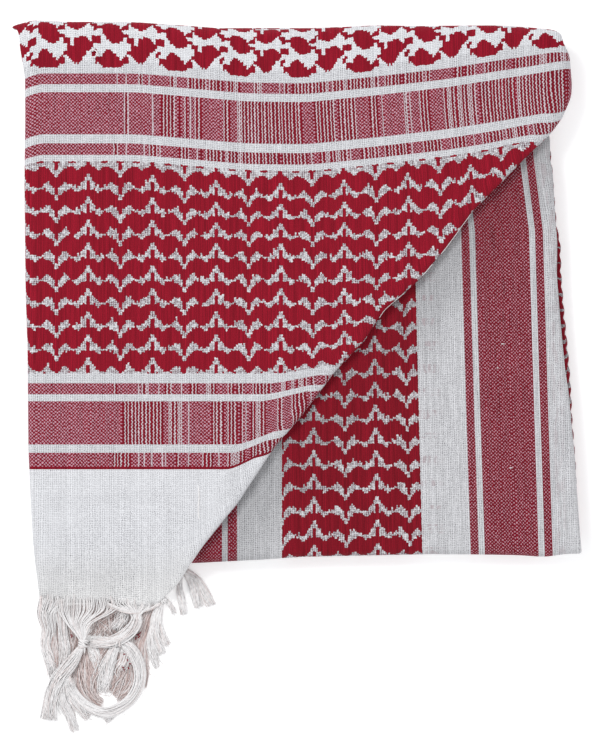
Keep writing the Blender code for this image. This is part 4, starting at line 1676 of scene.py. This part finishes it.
LEFT_TASSELS = Fringe("left_tassels", "fringe_left", 51, (
    Bundle(((-124.6, -109.6, 5.2), (-126.6, -117.0, 3.0), (-125.4, -125.0, 2.2), (-126.4, -133.0, 1.8),
           (-124.4, -141.0, 1.5), (-121.6, -152.0, 1.2)),
           (10.0, 8.0, 5.4, 3.8, 3.6, 3.0), yarns=36, ragged=0.12,
           stray=1.2),
    Bundle(((-119.6, -110.2, 5.0), (-118.4, -119.0, 3.2), (-117.8, -128.0, 2.6), (-116.4, -136.0, 2.2),
           (-117.4, -145.0, 1.8), (-120.2, -153.0, 1.6)),
           (6.0, 5.0, 4.6, 4.6, 4.0, 3.0), yarns=30, ragged=0.08,
           stray=1.1),
    Bundle(((-122.2, -122.0, 1.4), (-121.8, -133.0, 1.0), (-121.0, -144.0, 0.9), (-119.8, -154.0, 0.9)),
           (5.0, 6.0, 6.0, 4.0), yarns=20, flat=0.25, under=True),
    Bundle(((-112.0, -113.0, 1.6), (-111.0, -125.0, 1.0), (-112.0, -140.0, 0.9), (-116.0, -152.0, 0.9)),
           (14.0, 11.0, 9.0, 6.0), yarns=34, flat=0.2, under=True),
    Fan((-129.2, -109.6, 5.4), (-119.0, -109.8, 5.4), (-124.6, -123.5, 3.2), width=7.5, yarns=18, bow=-1.2),
    Fan((-120.0, -109.5, 5.4), (-91.0, -110.4, 5.2), (-107.6, -130.6, 4.6), width=3.0, yarns=36, bow=-2.4),
    Knot((-107.4, -132.4, 4.1), radius=2.3, lean_deg=-112.0, turns=6),
    Bundle(((-107.6, -133.0, 4.0), (-112.6, -141.0, 3.8), (-119.5, -150.0, 3.2), (-123.4, -159.0, 2.6),
           (-125.4, -173.0, 2.4)), (2.4, 6.0, 8.0, 7.6, 7.4), yarns=56, ragged=0.02),
    Bundle(((-105.4, -131.6, 2.8), (-102.0, -136.6, 2.3), (-99.8, -143.0, 1.9), (-99.8, -150.0, 1.6)),
           (3.0, 5.4, 5.0, 4.0), yarns=22, radius=0.22, flat=0.4, ragged=0.2, stray=1.3),
    RedSpecks(((-113.4, -128.0, 3.2), (-113.0, -128.7, 3.2))),
    Bundle(((-109.0, -136.0, 3.6), (-117.0, -149.0, 2.6), (-118.2, -159.0, 2.0), (-114.0, -169.0, 1.4),
           (-110.8, -178.5, 0.9)), (2.0, 5.0, 6.0, 5.0, 4.0), yarns=26, flat=0.4),
    Bundle(((-116.0, -148.0, 3.0), (-113.0, -158.0, 2.4), (-108.0, -165.0, 1.8), (-102.5, -169.5, 1.2)),
           (4.0, 6.0, 7.0, 7.0), yarns=34, flat=0.4, ragged=0.08),
))

LOOPED_TASSEL = Fringe("looped_tassel", "fringe_loop", 52, (
    Bundle(((-94.0, -111.5, 1.4), (-94.0, -120.0, 0.9), (-95.0, -131.0, 0.8)), (18.0, 22.0, 20.0), yarns=70,
           flat=0.1, under=True),
    Bundle(((-87.0, -113.0, 2.4), (-88.6, -120.0, 2.2), (-91.5, -127.5, 2.2)), (7.0, 8.0, 6.0), yarns=24,
           radius=0.2, flat=0.15),
    Fan((-91.0, -110.4, 5.2), (-74.0, -112.4, 5.0), (-81.0, -118.5, 4.4), width=4.6, yarns=22, bow=0.4),
    Bundle(((-106.0, -134.0, 1.2), (-107.8, -143.0, 1.1), (-106.8, -152.5, 1.0), (-103.0, -160.5, 1.0),
           (-96.5, -164.0, 1.0)), (5.0, 8.0, 9.0, 8.0, 4.0), yarns=40, flat=0.25, under=True),
    Bundle(((-96.0, -133.0, 1.6), (-100.0, -142.0, 1.3), (-101.5, -150.0, 1.2), (-101.0, -159.0, 1.0)),
           (7.0, 8.0, 8.0, 6.0), yarns=34, flat=0.3, under=True),
    Bundle(((-90.8, -132.5, 3.2), (-93.8, -140.0, 3.0), (-96.0, -146.5, 2.6), (-97.6, -152.5, 2.2),
           (-98.4, -158.5, 1.8)), (4.0, 6.0, 8.0, 8.0, 6.0), yarns=40, radius=0.22, flat=0.3, ragged=0.14,
           stray=1.2),
    Bundle(((-83.0, -143.0, 1.0), (-84.0, -151.0, 1.0), (-88.0, -157.0, 0.9), (-92.0, -160.6, 0.8)),
           (6.0, 7.0, 7.0, 5.0), yarns=30, radius=0.22, flat=0.2, ragged=0.16, stray=1.4, under=True),
    Bundle(((-87.0, -137.0, 1.8), (-88.5, -146.0, 1.3), (-91.0, -153.0, 1.1), (-93.6, -158.5, 1.0)),
           (6.0, 7.0, 6.0, 4.0), yarns=30, radius=0.22, flat=0.3, ragged=0.2, stray=1.2, under=True),
    Bundle(((-86.6, -133.4, 2.4), (-86.8, -140.0, 2.2), (-89.6, -146.0, 2.0), (-86.4, -149.0, 1.8)),
           (5.0, 6.0, 6.0, 5.0), yarns=12, radius=0.22, flat=0.3, ragged=0.3, stray=2.4),
    RedSpecks(((-86.6, -137.6, 4.0), (-85.0, -140.6, 3.9), (-83.8, -142.4, 3.8), (-84.6, -144.6, 3.7),
              (-86.8, -145.4, 3.6), (-83.0, -139.6, 3.6), (-87.4, -144.2, 3.6))),
    Bundle(((-90.0, -130.4, 3.2), (-84.8, -133.4, 3.4), (-80.6, -139.0, 3.2), (-78.6, -146.2, 2.8),
           (-79.2, -153.0, 2.4), (-82.2, -159.0, 2.2), (-87.2, -163.6, 2.2), (-93.9, -166.6, 2.4),
           (-100.0, -166.2, 2.6), (-106.4, -163.0, 2.8), (-111.8, -157.6, 3.0), (-115.4, -151.0, 3.2)),
           (4.0, 6.0, 6.4, 6.0, 5.6, 5.4, 5.4, 5.6, 5.2, 4.8, 4.6, 4.0), yarns=46, flat=0.4, ragged=0.02),
    Bundle(((-84.0, -161.0, 1.8), (-88.5, -165.5, 1.6), (-93.0, -169.0, 1.2), (-97.4, -172.6, 0.8)),
           (3.0, 4.0, 4.0, 2.0), yarns=18, radius=0.22, flat=0.4, ragged=0.12),
    Bundle(((-80.8, -114.5, 3.6), (-80.6, -121.0, 4.2), (-84.4, -126.4, 4.6), (-90.6, -130.4, 4.8),
           (-97.0, -131.8, 4.6), (-105.8, -131.2, 4.2)),
           (4.0, 6.4, 6.2, 5.2, 4.4, 2.4), yarns=44, flat=0.45,
           ragged=0.03),
    Knot((-90.4, -131.6, 4.4), radius=1.9, lean_deg=160.0, turns=3),
))

CORNER_TASSELS = Fringe("corner_tassels", "fringe_corner", 53, (
    Bundle(((-68.0, -110.0, 1.8), (-72.0, -117.0, 1.6), (-75.0, -124.0, 1.4), (-77.0, -131.0, 1.2),
           (-77.8, -138.0, 1.2), (-77.2, -147.0, 1.0), (-78.2, -157.0, 0.8)),
           (3.0, 6.0, 6.0, 5.0, 5.0, 4.6, 3.6),
           yarns=34, flat=0.25, under=True),
    Bundle(((-75.6, -116.0, 2.4), (-78.6, -122.6, 1.9), (-80.6, -129.0, 1.5), (-81.6, -136.0, 1.2)),
           (4.0, 4.6, 4.8, 3.4), yarns=18, flat=0.3, under=True),
    RedSpecks(((-80.0, -128.0, 3.2), (-79.4, -129.0, 3.1), (-80.9, -129.6, 3.1), (-79.0, -127.2, 3.1)),
              length=1.8),
    Knot((-67.0, -110.4, 2.6), radius=1.8, lean_deg=50.0, turns=5),
    Bundle(((-95.0, -112.4, 5.4), (-84.0, -116.2, 5.2), (-74.0, -115.0, 4.6), (-67.4, -111.0, 3.4)),
           (2.6, 2.2, 1.6, 0.8), yarns=3, radius=0.22, flat=0.4, ragged=0.02, stray=0.3),
    Bundle(((-67.4, -111.4, 2.6), (-70.8, -117.0, 2.4), (-71.6, -127.0, 2.0), (-69.4, -135.0, 1.4),
           (-68.4, -139.0, 1.0)), (2.4, 4.6, 5.0, 5.0, 4.6), yarns=30, flat=0.4, ragged=0.06),
    Bundle(((-67.8, -112.0, 2.4), (-69.2, -120.0, 2.0), (-67.4, -128.0, 1.4), (-64.2, -134.8, 1.0)),
           (2.0, 3.6, 3.4, 2.6), yarns=18, flat=0.4, ragged=0.06),
    Bundle(((-70.4, -118.0, 2.0), (-74.0, -130.0, 1.8), (-72.4, -138.0, 1.4), (-68.6, -145.6, 0.9)),
           (3.0, 4.0, 3.6, 3.0), yarns=20, flat=0.4, stray=0.8),
    Bundle(((-65.8, -110.4, 2.2), (-63.4, -113.6, 1.8), (-61.6, -118.4, 1.0)), (1.4, 2.4, 2.2), yarns=12,
           radius=0.22),
    Bundle(((-59.0, -99.0, 2.8), (-58.2, -108.0, 2.0), (-56.6, -119.6, 1.0)),
            (3.6, 3.4, 2.8), yarns=20, flat=0.4,
           ragged=0.05),
    Bundle(((-57.4, -95.0, 4.0), (-53.6, -101.0, 3.0), (-51.0, -108.6, 2.0), (-49.2, -116.0, 1.0)),
           (2.6, 3.6, 4.6, 5.0), yarns=26, flat=0.4, ragged=0.07),
    Bundle(((-56.0, -95.4, 4.0), (-49.6, -100.4, 3.0), (-45.6, -108.0, 2.0), (-42.4, -115.0, 1.0)),
           (2.6, 3.6, 4.2, 3.6), yarns=24, flat=0.4, ragged=0.06),
))


@dataclass
class LooseYarns:
    """A pulled loop, the slubs in the weave, and the threads that catch along the slanting fold."""

    name: str = "loose_yarns"
    loop_centre: Spot = (-101.8, 163.0, 20.1)
    loop_radius: float = 0.34
    slub: tuple[Spot, ...] = ((-49.4, -52.0, 18.95), (-48.9, -58.0, 19.3), (-49.3, -64.0, 19.3),
                              (-49.0, -70.0, 18.95))
    slub_radius: float = 0.42
    caught: tuple[Pair, ...] = ((31.0, 44.0), (52.0, 58.0), (63.0, 83.0))
    caught_level: float = 17.4
    caught_radius: float = 0.17
    neps: tuple[Spot, ...] = ((103.0, 18.0, 0.9), (107.0, -44.0, 0.8), (100.4, 6.0, 0.5))
    nep_radius: float = 0.30
    red_nep: tuple[Spot, ...] = ((101.0, 30.2, 14.15), (102.5, 30.0, 14.5), (104.0, 30.3, 14.15))

    def build(self, material: bpy.types.Material) -> bpy.types.Object:
        """Builds them all.

        Args:
            material: the yarn's finish.

        Returns:
            The piece.
        """
        mesh = YarnMesh()
        angle = np.radians(np.linspace(150.0, -140.0, 26))
        x, y, z = self.loop_centre
        loop = np.column_stack([x + 2.1 * np.cos(angle), y + 1.8 * np.sin(angle),
                                z + 0.9 * np.sin(0.5 * (math.pi - angle))])
        mesh.add(loop, self.loop_radius, 1.0)
        mesh.add(soft_path(np.array(self.slub), 24), self.slub_radius, 3.0)
        right = UpperStretch().right
        for number, (low, high) in enumerate(self.caught):
            y = np.linspace(low, high, 24)
            path = np.column_stack([right(y) + 0.12, y, np.full_like(y, self.caught_level)])
            mesh.add(path, self.caught_radius, 5.0 + number)
        for number, (x, y, half) in enumerate(self.neps):
            path = np.array([(x - half, y, 14.15), (x, y + 0.1, 14.4), (x + half, y, 14.15)])
            mesh.add(path, self.nep_radius, 9.0 + number)
        mesh.add(np.array(self.red_nep), self.slub_radius, RED_FROM + 1.0)
        return tied(mesh.build(self.name), material)


# ---------------------------------------------------------------- the studio


@dataclass(frozen=True)
class Lamp:
    """A large square lamp that looks at the cloth."""

    name: str
    place: Spot
    size: float
    watts: float

    def hang(self) -> None:
        """Puts the lamp in the scene."""
        data = bpy.data.lights.new(self.name, "AREA")
        data.size = self.size
        data.energy = self.watts
        lamp = bpy.data.objects.new(self.name, data)
        lamp.location = self.place
        lamp.rotation_euler = (-Vector(self.place)).to_track_quat("-Z", "Y").to_euler()
        bpy.context.scene.collection.objects.link(lamp)


@dataclass
class Studio:
    """The pale floor, the soft light and the camera straight above."""

    camera_height: float = 3.0
    frame_height: float = 0.375
    sensor: float = 36.0
    view_centre: Pair = (0.0015, 0.0025)
    cloth_level: float = 0.015
    floor_half: float = 3.0
    floor_glow: float = 0.28
    sky: Colour = (0.97, 0.98, 1.0)
    sky_strength: float = 0.60
    lamps: tuple[Lamp, ...] = (
        Lamp("key", (-1.15, 1.0, 1.6), 0.9, 27.5),
        Lamp("fill", (0.9, -1.0, 1.7), 1.6, 13.0),
    )

    def build(self) -> None:
        """Sets the floor, lights, world and camera."""
        self._floor()
        for lamp in self.lamps:
            lamp.hang()
        world = bpy.data.worlds.new("studio")
        world.use_nodes = True
        background = world.node_tree.nodes["Background"]
        background.inputs["Color"].default_value = (*self.sky, 1.0)
        background.inputs["Strength"].default_value = self.sky_strength
        bpy.context.scene.world = world
        bpy.context.scene.view_settings.view_transform = "Standard"
        data = bpy.data.cameras.new("camera")
        data.sensor_width = self.sensor
        data.lens = self.sensor * self.camera_height / self.frame_height
        data.clip_end = 20.0
        camera = bpy.data.objects.new("camera", data)
        camera.location = (*self.view_centre, self.camera_height + self.cloth_level)
        bpy.context.scene.collection.objects.link(camera)
        bpy.context.scene.camera = camera

    def _floor(self) -> None:
        """Lays a plain pale floor."""
        half = self.floor_half
        mesh = bpy.data.meshes.new("floor")
        mesh.from_pydata([(-half, -half, 0.0), (half, -half, 0.0), (half, half, 0.0), (-half, half, 0.0)], [],
                         [(0, 1, 2, 3)])
        floor = linked("floor", mesh)
        material = bpy.data.materials.new("floor")
        material.use_nodes = True
        shader = material.node_tree.nodes["Principled BSDF"]
        shader.inputs["Base Color"].default_value = (0.95, 0.95, 0.95, 1.0)
        shader.inputs["Roughness"].default_value = 0.95
        shader.inputs["Emission Color"].default_value = (1.0, 1.0, 1.0, 1.0)
        shader.inputs["Emission Strength"].default_value = self.floor_glow
        mesh.materials.append(material)


def main() -> None:
    """Builds the scarf and the studio, and writes how large the looks are."""
    logging.basicConfig(level=logging.INFO, format="%(name)s: %(message)s")
    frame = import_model()
    LOG.info("frame: %d nodes", len(frame["nodes"]))
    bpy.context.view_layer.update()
    Studio().build()
    end_weave = Cotton().weave("end_border_cotton", END_BORDER)
    side_weave = SHADED_COTTON.weave("side_border_cotton", SIDE_BORDER)
    yarn = YarnFinish().dress("fringe_yarn")
    fringes = [fringe.build(yarn) for fringe in (LEFT_TASSELS, LOOPED_TASSEL, CORNER_TASSELS)]
    loose = LooseYarns().build(yarn)
    stacks = [stack.build(end_weave) for stack in hidden_stacks()]
    inner = inner_fold().build(side_weave)
    lower = LowerStretch().build(side_weave)
    corner = TurnedCorner().build(end_weave)
    upper = UpperStretch().build(end_weave)


if __name__ == "__main__":
    main()
